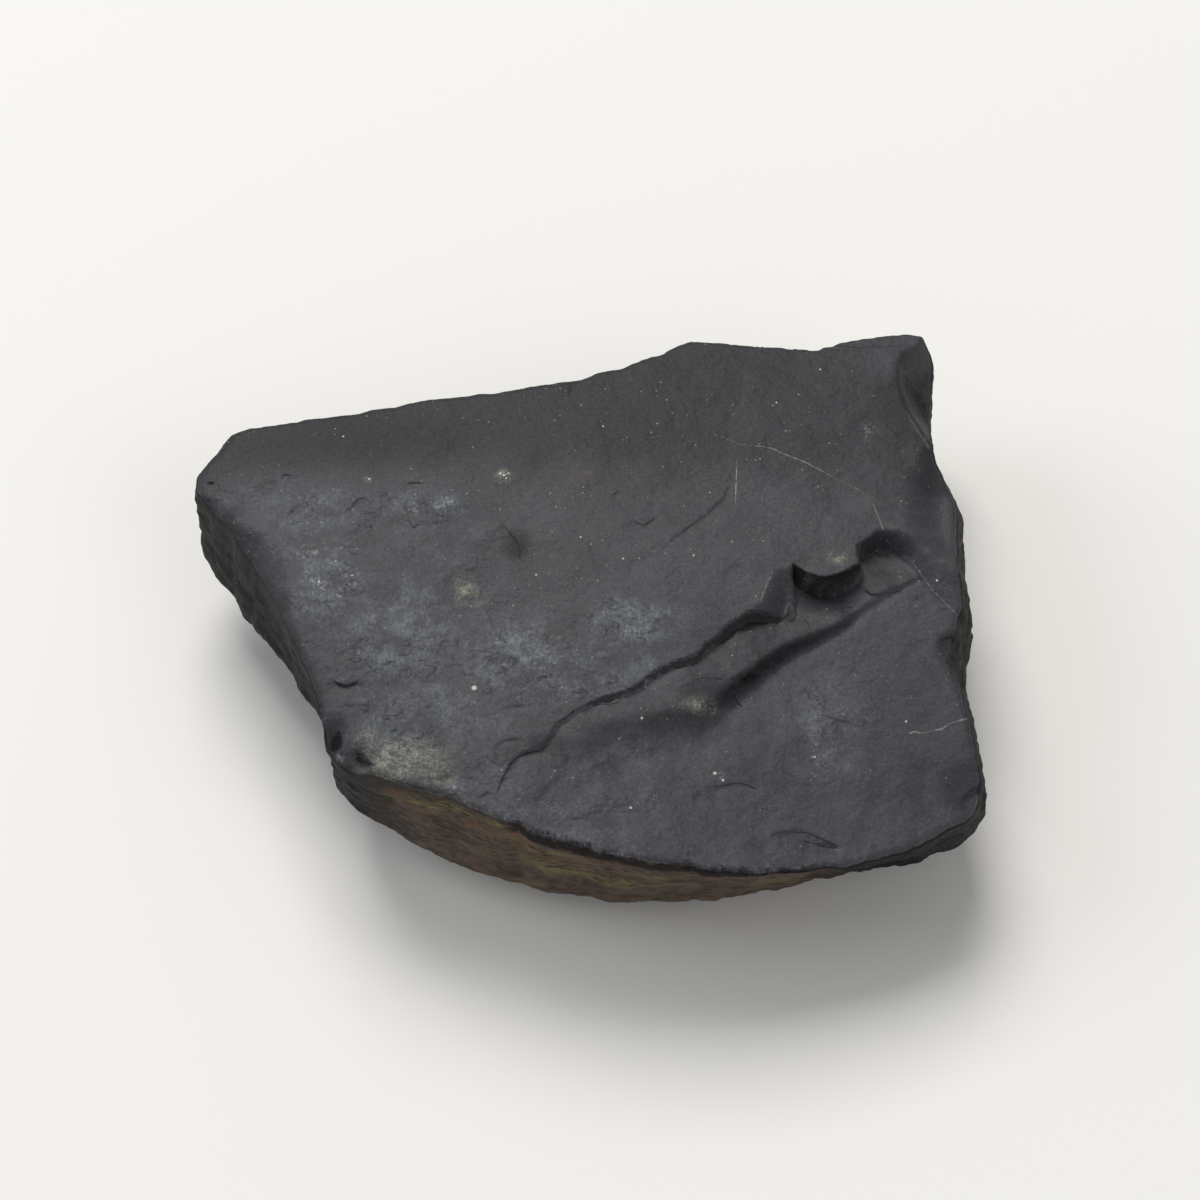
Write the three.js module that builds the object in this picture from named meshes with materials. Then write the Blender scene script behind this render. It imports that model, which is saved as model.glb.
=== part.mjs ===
// A thick flake of shungite, one natural stone.
//
// The stone lies on a small flat spot. Its broad top is a gently domed cleavage face, broken by a
// ragged step that runs from the front edge up to a deep notch near the right side. Below the step
// lie a narrow slanted ledge and a second, lower plate. The sides are layered fracture faces that
// lean out a little and then tuck under to the flat spot.
//
// The surface is made of closed rings of points, from the middle of the top out over the rim, down
// the side, under the stone and in to the middle of the flat spot.
// Millimetres, +Z up, +X along the longest side, -Y towards the brown front side. The origin lies on
// the resting surface below the middle of the outline.

import * as THREE from "three";

// ---- Driving sizes ------------------------------------------------------------------------------

const CROWN = 9.2; // height of the top above the resting surface, near the middle
const DOME_X = 0.0022; // fall of the dome per square millimetre, along the stone and across it
const DOME_Y = 0.003;
const LEAN_Y = 0.03; // the top rises a little towards the back

const FACE = 0.57; // length of a triangle's side on the top and the rim
const SIDE_ROWS = 7; // rows of triangles from the rim to the widest part
const UNDER_ROWS = 9; // rows from the widest part in to the flat spot
const FOOT_SIDES = 28; // points round the flat spot

// The rim, round the stone against the clock from its left side: x, y, how far the side leans out
// below the rim, and the height at which the stone is widest.
const RIM = [
  [-14.1, 1.3, 0.3, 3.2], // left side
  [-13.3, -0.2, 0.05, 3.2],
  [-12.6, -1.8, -0.3, 3.2],
  [-11.9, -3.3, -0.5, 3.2],
  [-11.3, -5.0, -0.6, 3.2],
  [-10.9, -6.3, -0.6, 3.2], // broken left front corner
  [-10.7, -7.4, -0.5, 3.2],
  [-10.1, -8.3, -0.7, 3.2],
  [-9.2, -9.0, -0.7, 3.1],
  [-8.2, -9.5, -0.7, 2.9],
  [-6.9, -10.0, -0.45, 2.7], // front
  [-5.5, -10.4, -0.1, 2.7],
  [-4.3, -11.0, -0.15, 2.7],
  [-2.6, -11.7, -0.3, 2.7],
  [-1.1, -12.4, -0.6, 2.7],
  [0.6, -12.8, -0.7, 2.7],
  [2.8, -13.2, -0.9, 2.7],
  [4.8, -13.4, -1.2, 2.7],
  [6.7, -13.5, -1.65, 2.7],
  [8.4, -13.3, -1.85, 2.7],
  [11.0, -12.9, -1.85, 2.9],
  [13.2, -12.3, -1.6, 3.2],
  [14.6, -11.5, -0.95, 3.4],
  [15.7, -10.8, -0.6, 3.5], // right front corner
  [16.3, -10.2, -0.45, 3.6],
  [16.6, -9.5, -0.1, 3.6],
  [16.7, -8.7, 0.25, 3.6],
  [16.5, -7.8, 0.6, 3.7], // right side
  [16.3, -6.3, 0.6, 3.7],
  [16.0, -4.6, 0.7, 3.7],
  [15.5, -3.4, 1.1, 3.7],
  [15.8, -2.2, 0.75, 3.6],
  [16.2, -1.0, 0.45, 3.6],
  [16.2, 0.2, 0.8, 3.6],
  [16.1, 1.3, 0.85, 3.6],
  [16.3, 3.0, 0.65, 3.6],
  [16.3, 4.2, 0.55, 3.8],
  [16.0, 5.2, 0.45, 3.8],
  [15.5, 6.3, 0.3, 3.7],
  [15.3, 7.6, 0.3, 3.8],
  [15.4, 9.2, 0.3, 3.6],
  [15.6, 10.8, 0.05, 3.6],
  [15.8, 12.2, 0.0, 4.0],
  [15.7, 12.9, 0.0, 4.0], // knob at the right back corner
  [15.2, 13.4, -0.1, 3.9],
  [14.5, 13.45, -0.1, 3.8],
  [13.3, 13.2, 0.0, 3.7],
  [11.6, 12.85, 0.1, 3.6],
  [10.7, 12.15, 0.3, 3.5],
  [7.5, 12.3, 0.4, 3.4], // back
  [5.0, 12.45, 0.4, 3.1],
  [4.3, 12.2, 0.5, 3.0],
  [3.3, 11.6, 0.8, 2.9],
  [2.0, 10.95, 1.1, 2.8],
  [0.0, 10.3, 1.2, 2.7],
  [-3.1, 9.7, 0.9, 2.6],
  [-6.0, 9.3, 0.6, 2.8],
  [-8.6, 8.9, 0.5, 3.2],
  [-10.0, 8.65, 0.5, 3.5],
  [-12.4, 8.3, 0.4, 3.9],
  [-14.4, 8.05, 0.2, 4.2],
  [-15.2, 7.7, 0.1, 4.3], // left back corner
  [-15.8, 6.8, 0.1, 4.4],
  [-16.3, 6.1, 0.1, 4.4],
  [-16.65, 5.6, 0.1, 4.4],
  [-16.7, 4.9, 0.0, 3.2],
  [-16.0, 4.0, 0.1, 3.2],
  [-15.2, 3.1, 0.4, 3.2],
];

const MIDDLE = [0.15, -0.02]; // of the whole outline in plan, which the origin lies below

// Corners of the flat spot that the stone rests on.
const FOOT = [
  [-7.2, 1.8],
  [-4.8, -5.2],
  [2.4, -7.0],
  [8.4, -5.2],
  [9.2, 2.2],
  [3.6, 6.0],
  [-3.6, 5.2],
];

// Lines on the top, each with its lower side on its right. STEP is the edge of the upper plate with
// its notch and pit, LEDGE the edge of the ledge below it.
const STEP = [
  [-3.3, -10.2],
  [-2.6, -8.5],
  [-1.9, -8.2],
  [-1.0, -7.1],
  [1.2, -5.8],
  [2.9, -4.8],
  [4.6, -4.0],
  [5.2, -3.3],
  [6.1, -2.6],
  [7.0, -1.7],
  [8.9, -1.5],
  [9.0, 0.6],
  [10.0, -0.1],
  [10.8, 0.0],
  [12.0, 0.6],
  [11.9, 1.5],
  [12.8, 2.3],
  [13.9, 2.0],
  [14.6, 1.3],
  [15.8, 0.2],
  [17.5, -1.0],
];
const LEDGE = [
  [-1.8, -9.8],
  [1.0, -8.0],
  [3.3, -7.2],
  [4.8, -6.6],
  [5.9, -5.7],
  [6.8, -4.7],
  [8.0, -3.8],
  [9.4, -2.9],
  [11.3, -1.6],
  [12.2, -0.8],
  [13.5, 0.0],
];

// Slopes that bevel the top: a line, its lower side on its right, the fall and its width.
const SLOPES = [
  // dark facet at the right back corner
  {
    line: [
      [15.6, 6.3],
      [14.7, 7.8],
      [14.2, 8.9],
      [13.8, 10.3],
      [13.9, 11.4],
      [14.5, 12.5],
      [15.2, 14.0],
    ],
    fall: 1.7,
    run: 1.4,
  },
  // back of the knob
  {
    line: [
      [15.4, 12.3],
      [12.5, 12.0],
      [10.8, 12.1],
    ],
    fall: 0.35,
    run: 0.5,
  },
  // right side, down to the lower plate
  {
    line: [
      [16.5, -0.6],
      [14.4, 1.0],
      [13.7, 2.6],
      [14.0, 5.0],
      [15.0, 7.2],
    ],
    fall: 0.6,
    run: 1.8,
  },
  // small facet beside the notch
  {
    line: [
      [6.8, -1.9],
      [7.6, -1.2],
      [7.9, -0.2],
      [8.2, 0.4],
      [9.0, 0.6],
      [9.8, -0.2],
      [10.8, -0.5],
    ],
    fall: 0.8,
    run: 1.3,
    end: 1.5,
  },
  // grey facet along the left side
  {
    line: [
      [-17.6, 5.3],
      [-15.6, 4.4],
      [-14.4, 2.9],
      [-13.2, 2.3],
      [-12.5, 1.0],
      [-12.2, -1.0],
      [-11.7, -3.2],
      [-11.0, -5.6],
    ],
    fall: 0.5,
    run: 1.2,
  },
  // broken left front corner
  {
    line: [
      [-11.0, -6.4],
      [-9.9, -7.6],
      [-8.9, -8.4],
      [-8.4, -9.3],
      [-8.0, -10.0],
    ],
    fall: 1.5,
    run: 1.4,
  },
];

// Round hollows and swellings of the top: x, y, radius along x and y, depth.
const HOLLOWS = [
  [-2.9, -0.9, 2.1, 2.0, 0.16],
  [1.4, -3.0, 3.6, 2.4, -0.1],
  [-9.5, -1.5, 3.0, 3.5, -0.08],
  [16.4, -9.5, 0.9, 0.9, 0.5], // chipped right front corner
  [15.7, -2.8, 0.4, 0.5, 0.35], // chip in the right side
  [-10.2, -7.5, 0.5, 0.6, 0.5], // pits in the broken corner
  [-9.2, -8.4, 0.5, 0.4, 0.35],
  [5.3, -5.6, 0.8, 0.35, 0.15], // below the ledge
];
// The same for the hollows that stop at the step's edge.
const POCKETS = [
  [10.5, -0.3, 1.15, 0.6, 0.35], // floor of the notch
  [13.1, 1.4, 0.9, 0.55, 0.15], // floor of the pit
];

// Depth below the dome by distance along the step, of the ledge and of the lower plate.
const LEVELS_ALONG = [-1, 0, 3.5, 6.5, 8, 9.5, 11, 12.5, 14, 17.5, 20.5, 24];
const LEDGE_DEPTH = [0, 0, 0.08, 0.16, 0.3, 0.22, 0.42, 0.46, 0.7, 0.95, 0.8, 0.7];
const PLATE_DEPTH = [0, 0, 0.3, 0.68, 0.85, 1.0, 1.15, 1.2, 1.25, 1.05, 0.85, 0.75];
// Width in plan of the step's face by x: steep up to the pit, a gentle slope right of it.
const STEP_RUN_X = [11.9, 12.6, 13.4, 14.2, 15.2];
const STEP_RUN = [0.16, 0.4, 0.7, 1.2, 3.0];
const STEEP_RUN = STEP_RUN[0];
const STEP_START = STEP[0];
const STEP_HEADING = [0.785, 0.62];

// ---- Small helpers ------------------------------------------------------------------------------

const mix = (a, b, t) => a + (b - a) * t;
const clamp01 = (t) => Math.min(1, Math.max(0, t));
const smooth = (t) => {
  const c = clamp01(t);
  return c * c * (3 - 2 * c);
};

// Straight-line interpolation in a table of rising xs.
function lookUp(xs, ys, x) {
  if (x <= xs[0]) return ys[0];
  for (let i = 1; i < xs.length; i++) {
    if (x <= xs[i]) return mix(ys[i - 1], ys[i], (x - xs[i - 1]) / (xs[i] - xs[i - 1]));
  }
  return ys[ys.length - 1];
}

// A repeatable random number from -1 to 1 for a point of a grid.
function grain(i, j, k) {
  const s = Math.sin(i * 127.1 + j * 311.7 + k * 74.7) * 43758.5453;
  return 2 * (s - Math.floor(s)) - 1;
}

// Smooth noise from -1 to 1, one bump per unit.
function noise(x, y, z) {
  const [i, j, k] = [Math.floor(x), Math.floor(y), Math.floor(z)];
  const [u, v, w] = [smooth(x - i), smooth(y - j), smooth(z - k)];
  const row = (b, c) => mix(grain(i, j + b, k + c), grain(i + 1, j + b, k + c), u);
  return mix(mix(row(0, 0), row(1, 0), v), mix(row(0, 1), row(1, 1), v), w);
}

// The nearest place of an open line to a point, and the signed distance to it, positive on the
// line's right-hand side.
function nearest(line, x, y) {
  let best = { square: Infinity };
  for (let i = 0; i + 1 < line.length; i++) {
    const [ax, ay] = line[i];
    const [dx, dy] = [line[i + 1][0] - ax, line[i + 1][1] - ay];
    const t = clamp01(((x - ax) * dx + (y - ay) * dy) / (dx * dx + dy * dy));
    const [px, py] = [ax + t * dx, ay + t * dy];
    const square = (x - px) ** 2 + (y - py) ** 2;
    if (square < best.square) best = { square, px, py, i, t };
  }
  // At a corner the two neighbouring pieces decide the side together.
  const near = [best.i];
  if (best.t === 1 && best.i + 2 < line.length) near.push(best.i + 1);
  let side = 0;
  for (const i of near) {
    const [dx, dy] = [line[i + 1][0] - line[i][0], line[i + 1][1] - line[i][1]];
    side += ((x - best.px) * dy - (y - best.py) * dx) / Math.hypot(dx, dy);
  }
  const distance = Math.sqrt(best.square);
  return { px: best.px, py: best.py, distance: side < 0 ? -distance : distance };
}

// ---- The top ------------------------------------------------------------------------------------

const dome = (x, y) => CROWN - DOME_X * x * x - DOME_Y * y * y + LEAN_Y * y;

const alongStep = (x, y) =>
  (x - STEP_START[0]) * STEP_HEADING[0] + (y - STEP_START[1]) * STEP_HEADING[1];

function hollowDepth(hollows, x, y) {
  let depth = 0;
  for (const [cx, cy, rx, ry, deep] of hollows) {
    const r = Math.hypot((x - cx) / rx, (y - cy) / ry);
    if (r < 2) depth += deep * smooth(1 - r / 2);
  }
  return depth;
}

// Height of the top at a place in plan.
function topHeight(x, y) {
  const along = alongStep(x, y);
  const ledge = lookUp(LEVELS_ALONG, LEDGE_DEPTH, along);
  const plate = lookUp(LEVELS_ALONG, PLATE_DEPTH, along);
  const stepRun = lookUp(STEP_RUN_X, STEP_RUN, x);
  const pastStep = smooth(nearest(STEP, x, y).distance / stepRun + 0.5);
  const pastLedge = smooth(nearest(LEDGE, x, y).distance / STEEP_RUN + 0.5);
  let depth = ledge * pastStep + (plate - ledge) * pastLedge * pastStep;
  for (const { line, fall, run, end = Infinity } of SLOPES) {
    const past = nearest(line, x, y).distance;
    const down = fall * smooth(past / run) * smooth((end - past) * 2);
    // A slope with an end runs out into the ledge and never cuts below it.
    depth = Math.max(depth, end === Infinity ? down : Math.min(down, ledge));
  }
  depth += hollowDepth(HOLLOWS, x, y) + pastStep * hollowDepth(POCKETS, x, y);
  const swell = 0.08 * noise(x / 4.5, y / 3.5, 1) + 0.035 * noise(x / 1.6, y / 1.3, 2);
  return dome(x, y) - depth + swell;
}

// Draws a point near one of the step lines up to it, so that the step keeps a clean edge.
function gather(x, y) {
  const [step, ledge] = [nearest(STEP, x, y), nearest(LEDGE, x, y)];
  const { px, py, distance } = Math.abs(step.distance) < Math.abs(ledge.distance) ? step : ledge;
  const away = Math.abs(distance);
  if (away >= FACE || away < 1e-6) return [x, y];
  const close = mix(0.5 * STEEP_RUN, FACE, (away / FACE) ** 1.5);
  const k = mix(1, close / away, smooth(alongStep(x, y) / 3));
  return [px + (x - px) * k, py + (y - py) * k];
}

// ---- The outline --------------------------------------------------------------------------------

const rimCurve = new THREE.CurvePath();
RIM.forEach(([x, y], i) => {
  const [nx, ny] = RIM[(i + 1) % RIM.length];
  rimCurve.add(new THREE.LineCurve3(new THREE.Vector3(x, y, 0), new THREE.Vector3(nx, ny, 0)));
});
const rimLengths = [0, ...rimCurve.getCurveLengths()];
const rimLength = rimCurve.getLength();

// The rim, the lean of the side and the height of the widest part at a fraction of the way round.
function rimAt(turn) {
  const want = (turn - Math.floor(turn)) * rimLength;
  let i = 0;
  while (i + 1 < RIM.length && rimLengths[i + 1] < want) i++;
  const t = (want - rimLengths[i]) / (rimLengths[i + 1] - rimLengths[i]);
  const next = RIM[(i + 1) % RIM.length];
  const [x, y, lean, widest] = RIM[i].map((value, n) => mix(value, next[n], t));
  return { x, y, lean, widest };
}

// The direction straight out from the rim, evened out over a few millimetres.
function outwardAt(turn) {
  const step = 1.5 / rimLength;
  const before = rimAt(turn - step);
  const after = rimAt(turn + step);
  const [dx, dy] = [after.x - before.x, after.y - before.y];
  const length = Math.hypot(dx, dy);
  return [dy / length, -dx / length];
}

// Where a ray from the middle leaves the flat spot.
function footAt(angle) {
  const [c, s] = [Math.cos(angle), Math.sin(angle)];
  let reach = 0;
  FOOT.forEach(([ax, ay], i) => {
    const [bx, by] = FOOT[(i + 1) % FOOT.length];
    const [dx, dy] = [bx - ax, by - ay];
    const cross = c * dy - s * dx;
    const t = (ax * dy - ay * dx) / cross;
    const along = (ax * s - ay * c) / cross;
    if (t > 0 && along >= 0 && along <= 1) reach = Math.max(reach, t);
  });
  return [reach * c, reach * s];
}

// ---- The rings of points ------------------------------------------------------------------------

// A point of the top: in from the rim by a share of the way to the middle.
function topPoint(turn, share) {
  const rim = rimAt(turn);
  const [x, y] = gather(rim.x * share, rim.y * share);
  return [x, y, topHeight(x, y)];
}

// How far a place lies from the middle of its layer, from -0.5 to 0.5 with a quick change between
// layers, for layers of one thickness that dip a little to the left.
function shelfAt(x, y, z, thickness) {
  const layer = (z + 0.05 * x + 0.4 * noise(x / 6, y / 6, 5)) / thickness;
  return Math.floor(layer) + smooth((layer - Math.floor(layer)) * 2.2 - 0.6) - layer;
}

// A point of the side, from the rim at 0 to the widest part at 1, with its layered ledges.
function sidePoint(turn, share) {
  const rim = rimAt(turn);
  const [ox, oy] = outwardAt(turn);
  const top = topHeight(rim.x, rim.y) - 0.12;
  const z = mix(top, rim.widest, share);
  const shelf = shelfAt(rim.x, rim.y, z, 1.1);
  const rough = 0.16 * noise(rim.x / 1.4, rim.y / 1.4, z / 0.8) + 0.12 * shelf;
  const out = rim.lean * share ** 0.85 + rough * smooth(share * 3) + 0.05 * smooth(share * 9);
  return [rim.x + ox * out, rim.y + oy * out, z];
}

// A point of the underside, from the widest part at 0 to the flat spot at 1.
function underPoint(turn, share) {
  const [x, y, z] = sidePoint(turn, 1);
  const [fx, fy] = footAt(Math.atan2(y, x));
  const [px, py] = [mix(x, fx, share), mix(y, fy, share)];
  const belly = 1.1 + 0.6 * noise(x / 6, y / 6, 8);
  const plain = z * (1 - share) ** belly;
  const rough = 0.4 * noise(px / 2.6, py / 2.6, 9) + 0.18 * noise(px / 1.1, py / 1.1, 10);
  const fade = smooth(share * 5) * smooth((1 - share) * 4);
  return [px, py, Math.max(0, plain + (rough + shelfAt(px, py, plain, 1.7)) * fade)];
}

const ringOf = (count, point) => Array.from({ length: count }, (_, i) => point(i / count));

const ROUND = Math.round(rimLength / FACE); // points round the rim
const TOP_ROWS = Math.round(rimLength / (2 * Math.PI) / FACE);

function makeRings() {
  const rings = [[[0, 0, topHeight(0, 0)]]];
  for (let row = 1; row < TOP_ROWS; row++) {
    const share = row / TOP_ROWS;
    rings.push(ringOf(Math.round(ROUND * share), (turn) => topPoint(turn, share)));
  }
  rings.push(ringOf(ROUND, (turn) => sidePoint(turn, 0)));
  for (let row = 1; row <= SIDE_ROWS; row++) {
    const share = row / SIDE_ROWS;
    rings.push(ringOf(ROUND, (turn) => sidePoint(turn, share)));
  }
  for (let row = 1; row <= UNDER_ROWS; row++) {
    const share = row / UNDER_ROWS;
    const count = Math.round(mix(ROUND, FOOT_SIDES, share ** 0.7));
    rings.push(ringOf(count, (turn) => underPoint(turn, share)));
  }
  rings.push([[0, 0, 0]]);
  return rings;
}

// Joins two neighbouring rings, which may have different numbers of points, with triangles that
// face away from the stone. The rings run against the clock, the first one nearer the top's middle.
function joinRings(faces, inner, innerStart, outer, outerStart, freedom) {
  const a = (i) => innerStart + (i % inner.length);
  const b = (i) => outerStart + (i % outer.length);
  if (inner.length === 1) {
    outer.forEach((_, i) => faces.push(a(0), b(i), b(i + 1)));
    return;
  }
  if (outer.length === 1) {
    inner.forEach((_, i) => faces.push(a(i), b(0), a(i + 1)));
    return;
  }
  // Within the given freedom, the shorter of the two ways across each gap is taken, with height
  // counting more, so that the triangles follow a step instead of crossing it.
  const across = (p, q) => Math.hypot(p[0] - q[0], p[1] - q[1], 4 * (p[2] - q[2]));
  const innerAt = (i) => inner[i % inner.length];
  const outerAt = (j) => outer[j % outer.length];
  const slack = freedom / Math.min(inner.length, outer.length) + 1e-9;
  let [i, j] = [0, 0];
  while (i < inner.length || j < outer.length) {
    const lead = (i + 1) / inner.length - (j + 1) / outer.length;
    const shorter = across(innerAt(i + 1), outerAt(j)) < across(innerAt(i), outerAt(j + 1));
    const onInner = Math.abs(lead) > slack || freedom === 0 ? lead < 0 : shorter;
    if (j >= outer.length || (i < inner.length && onInner)) {
      faces.push(a(i), b(j), a(i + 1));
      i++;
    } else {
      faces.push(a(i), b(j), b(j + 1));
      j++;
    }
  }
}

function makeStone() {
  const rings = makeRings();
  const faces = [];
  let start = 0;
  for (let i = 0; i + 1 < rings.length; i++) {
    const next = start + rings[i].length;
    joinRings(faces, rings[i], start, rings[i + 1], next, i < TOP_ROWS ? 1.2 : 0);
    start = next;
  }
  const geometry = new THREE.BufferGeometry();
  geometry.setAttribute("position", new THREE.Float32BufferAttribute(rings.flat(2), 3));
  geometry.setIndex(faces);
  geometry.computeVertexNormals();
  return geometry;
}

const shungite = new THREE.MeshStandardMaterial({
  color: 0x37363b,
  roughness: 0.62,
  metalness: 0,
  flatShading: true,
});

const rock = new THREE.Mesh(makeStone(), shungite);
rock.name = "rock";
rock.position.set(-MIDDLE[0], -MIDDLE[1], 0);

const stone = new THREE.Group();
stone.add(rock);

export default stone;
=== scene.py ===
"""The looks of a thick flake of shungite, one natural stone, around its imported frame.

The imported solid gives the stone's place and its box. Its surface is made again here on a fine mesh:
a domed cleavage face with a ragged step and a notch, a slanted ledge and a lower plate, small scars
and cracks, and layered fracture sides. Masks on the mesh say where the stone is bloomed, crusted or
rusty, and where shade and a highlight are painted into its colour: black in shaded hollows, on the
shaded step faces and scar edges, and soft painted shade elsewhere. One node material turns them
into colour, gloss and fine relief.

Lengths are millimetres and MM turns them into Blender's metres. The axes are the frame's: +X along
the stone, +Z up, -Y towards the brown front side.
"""

import math

import bpy
import numpy as np
from mathutils import Matrix, Vector


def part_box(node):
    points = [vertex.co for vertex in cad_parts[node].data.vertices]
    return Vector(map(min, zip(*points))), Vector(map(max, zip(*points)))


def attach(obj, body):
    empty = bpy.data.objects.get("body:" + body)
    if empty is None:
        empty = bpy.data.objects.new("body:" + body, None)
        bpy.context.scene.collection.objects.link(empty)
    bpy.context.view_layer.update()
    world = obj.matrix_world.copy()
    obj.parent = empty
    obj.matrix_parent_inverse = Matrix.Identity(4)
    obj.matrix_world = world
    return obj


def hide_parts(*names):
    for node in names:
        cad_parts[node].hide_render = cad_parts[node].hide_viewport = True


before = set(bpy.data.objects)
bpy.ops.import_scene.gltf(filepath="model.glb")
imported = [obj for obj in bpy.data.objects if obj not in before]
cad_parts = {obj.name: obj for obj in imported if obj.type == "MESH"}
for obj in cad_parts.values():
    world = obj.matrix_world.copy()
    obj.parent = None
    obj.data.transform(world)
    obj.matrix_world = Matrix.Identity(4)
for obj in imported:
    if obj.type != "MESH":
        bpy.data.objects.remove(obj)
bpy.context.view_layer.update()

MM = 0.001

# ---- Driving sizes ----

CROWN = 9.2  # height of the top above the resting surface, near the middle
DOME_X = 0.0022  # fall of the dome per square millimetre, along the stone and across it
DOME_Y = 0.003
LEAN_Y = 0.03  # the top rises a little towards the back
MIDDLE = (0.15, -0.02)  # the middle of the outline in plan, which the frame's origin lies below

ROUND = 940  # points round the rim
TOP_ROWS = 118
SIDE_ROWS = 22
UNDER_ROWS = 24
FOOT_SIDES = 72

WORN_DEPTH = 0.13  # of the worn edge at the rim, and its width in plan
WORN_WIDTH = 0.35
THICK_LAYER = 1.1  # layers of the fracture faces
THIN_LAYER = 0.43
UNDER_LAYER = 1.7
BITE = 0.16  # depth of the bites below the rim
BITE_LEVEL = 0.32  # how far below the rim they lie
BITE_HEIGHT = 0.2
STEP_TROUGH = 0.1  # depth of the worn trough at the foot of the step, and its width
STEP_TROUGH_WIDTH = 0.3
LEDGE_TROUGH = 0.12
LEDGE_TROUGH_WIDTH = 0.7
NO_MARK = -0.3  # half width of a thin mark where there is none
FAR_IN = -9.0  # distances from the rim where it doesn't count
FAR_DOWN = 6.0

# The rim, round the stone against the clock from its left side: x, y, how far the side leans out
# below the rim, and the height at which the stone is widest.
RIM = [
    (-14.1, 1.3, 0.3, 3.2),  # left side
    (-13.3, -0.2, 0.05, 3.2), (-12.6, -1.8, -0.3, 3.2), (-11.9, -3.3, -0.5, 3.2),
    (-11.3, -5, -0.6, 3.2),
    (-10.9, -6.3, -0.6, 3.2),  # broken left front corner
    (-10.7, -7.4, -0.5, 3.2), (-10.1, -8.3, -0.7, 3.2), (-9.2, -9, -0.7, 3.1),
    (-8.2, -9.5, -0.7, 2.9),
    (-6.9, -10, -0.45, 2.7),  # front
    (-5.5, -10.4, -0.1, 2.7), (-4.3, -11, -0.15, 2.7), (-2.6, -11.7, -0.3, 2.7),
    (-1.1, -12.4, -0.6, 2.7), (0.6, -12.8, -0.7, 2.7), (2.8, -13.2, -0.9, 2.7),
    (4.8, -13.4, -1.2, 2.7), (6.7, -13.5, -1.65, 2.7), (8.4, -13.3, -1.85, 2.7),
    (11, -12.9, -1.85, 2.9), (13.2, -12.3, -1.6, 3.2), (14.6, -11.5, -0.95, 3.4),
    (15.7, -10.8, -0.6, 3.5),  # right front corner
    (16.3, -10.2, -0.45, 3.6), (16.6, -9.5, -0.1, 3.6), (16.7, -8.7, 0.25, 3.6),
    (16.5, -7.8, 0.6, 3.7),  # right side
    (16.3, -6.3, 0.6, 3.7), (16, -4.6, 0.7, 3.7), (15.5, -3.4, 1.1, 3.7), (15.8, -2.2, 0.75, 3.6),
    (16.2, -1, 0.45, 3.6), (16.2, 0.2, 0.8, 3.6), (16.1, 1.3, 0.85, 3.6), (16.3, 3, 0.65, 3.6),
    (16.3, 4.2, 0.55, 3.8), (16, 5.2, 0.45, 3.8), (15.5, 6.3, 0.3, 3.7), (15.3, 7.6, 0.3, 3.8),
    (15.4, 9.2, 0.3, 3.6), (15.6, 10.8, 0.05, 3.6), (15.8, 12.2, 0, 4),
    (15.7, 12.9, 0, 4),  # knob at the right back corner
    (15.2, 13.4, -0.1, 3.9), (14.5, 13.45, -0.1, 3.8), (13.3, 13.2, 0, 3.7),
    (11.6, 12.85, 0.1, 3.6), (10.7, 12.15, 0.3, 3.5),
    (7.5, 12.3, 0.4, 3.4),  # back
    (5, 12.45, 0.4, 3.1), (4.3, 12.2, 0.5, 3), (3.3, 11.6, 0.8, 2.9), (2, 10.95, 1.1, 2.8),
    (0, 10.3, 1.2, 2.7), (-3.1, 9.7, 0.9, 2.6), (-6, 9.3, 0.6, 2.8), (-8.6, 8.9, 0.5, 3.2),
    (-10, 8.65, 0.5, 3.5), (-12.4, 8.3, 0.4, 3.9), (-14.4, 8.05, 0.2, 4.2),
    (-15.2, 7.7, 0.1, 4.3),  # left back corner
    (-15.8, 6.8, 0.1, 4.4), (-16.3, 6.1, 0.1, 4.4), (-16.65, 5.6, 0.1, 4.4), (-16.7, 4.9, 0, 3.2),
    (-16, 4, 0.1, 3.2), (-15.2, 3.1, 0.4, 3.2),
]

# Corners of the flat spot that the stone rests on.
FOOT = [(-7.2, 1.8), (-4.8, -5.2), (2.4, -7), (8.4, -5.2), (9.2, 2.2), (3.6, 6), (-3.6, 5.2)]

# Lines on the top, each with its lower side on its right. STEP is the edge of the upper plate with
# its notch and pit, LEDGE the edge of the ledge below it.
STEP = [
    (-3.3, -10.2), (-3, -9.2), (-2.6, -8.5), (-1.9, -8.2), (-1.3, -7.7), (-1, -7.1), (-0.2, -6.5),
    (0.6, -6), (1.2, -5.8), (2.2, -5.4), (2.9, -4.8), (3.6, -4.4), (4.1, -4.1), (4.6, -4),
    (5, -3.7), (5.2, -3.3), (5.8, -2.9), (6.1, -2.55), (6.4, -2.25), (6.75, -2.05), (7.05, -1.7),
    (7.9, -1.72), (8.5, -1.6), (8.95, -1.45), (9.05, -0.6), (9.05, 0.55), (9.3, 0.28), (9.6, 0.05),
    (10, -0.1), (10.4, -0.15), (10.8, -0.05), (11.2, 0.15), (11.6, 0.38), (12, 0.6), (11.85, 1.5),
    (12.3, 1.9), (12.8, 2.3), (13.4, 2.2), (13.9, 2), (14.2, 1.7), (14.6, 1.25), (15.8, 0.2),
    (17.5, -1),
]
LEDGE = [
    (-1.8, -9.8), (1, -8), (3.3, -7.2), (4.8, -6.6), (5.9, -5.7), (6.8, -4.8), (7.5, -4.2),
    (8.3, -3.45), (9.2, -2.85), (10.3, -2.2), (11.3, -1.6), (12.2, -0.8), (13.5, 0),
]
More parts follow.
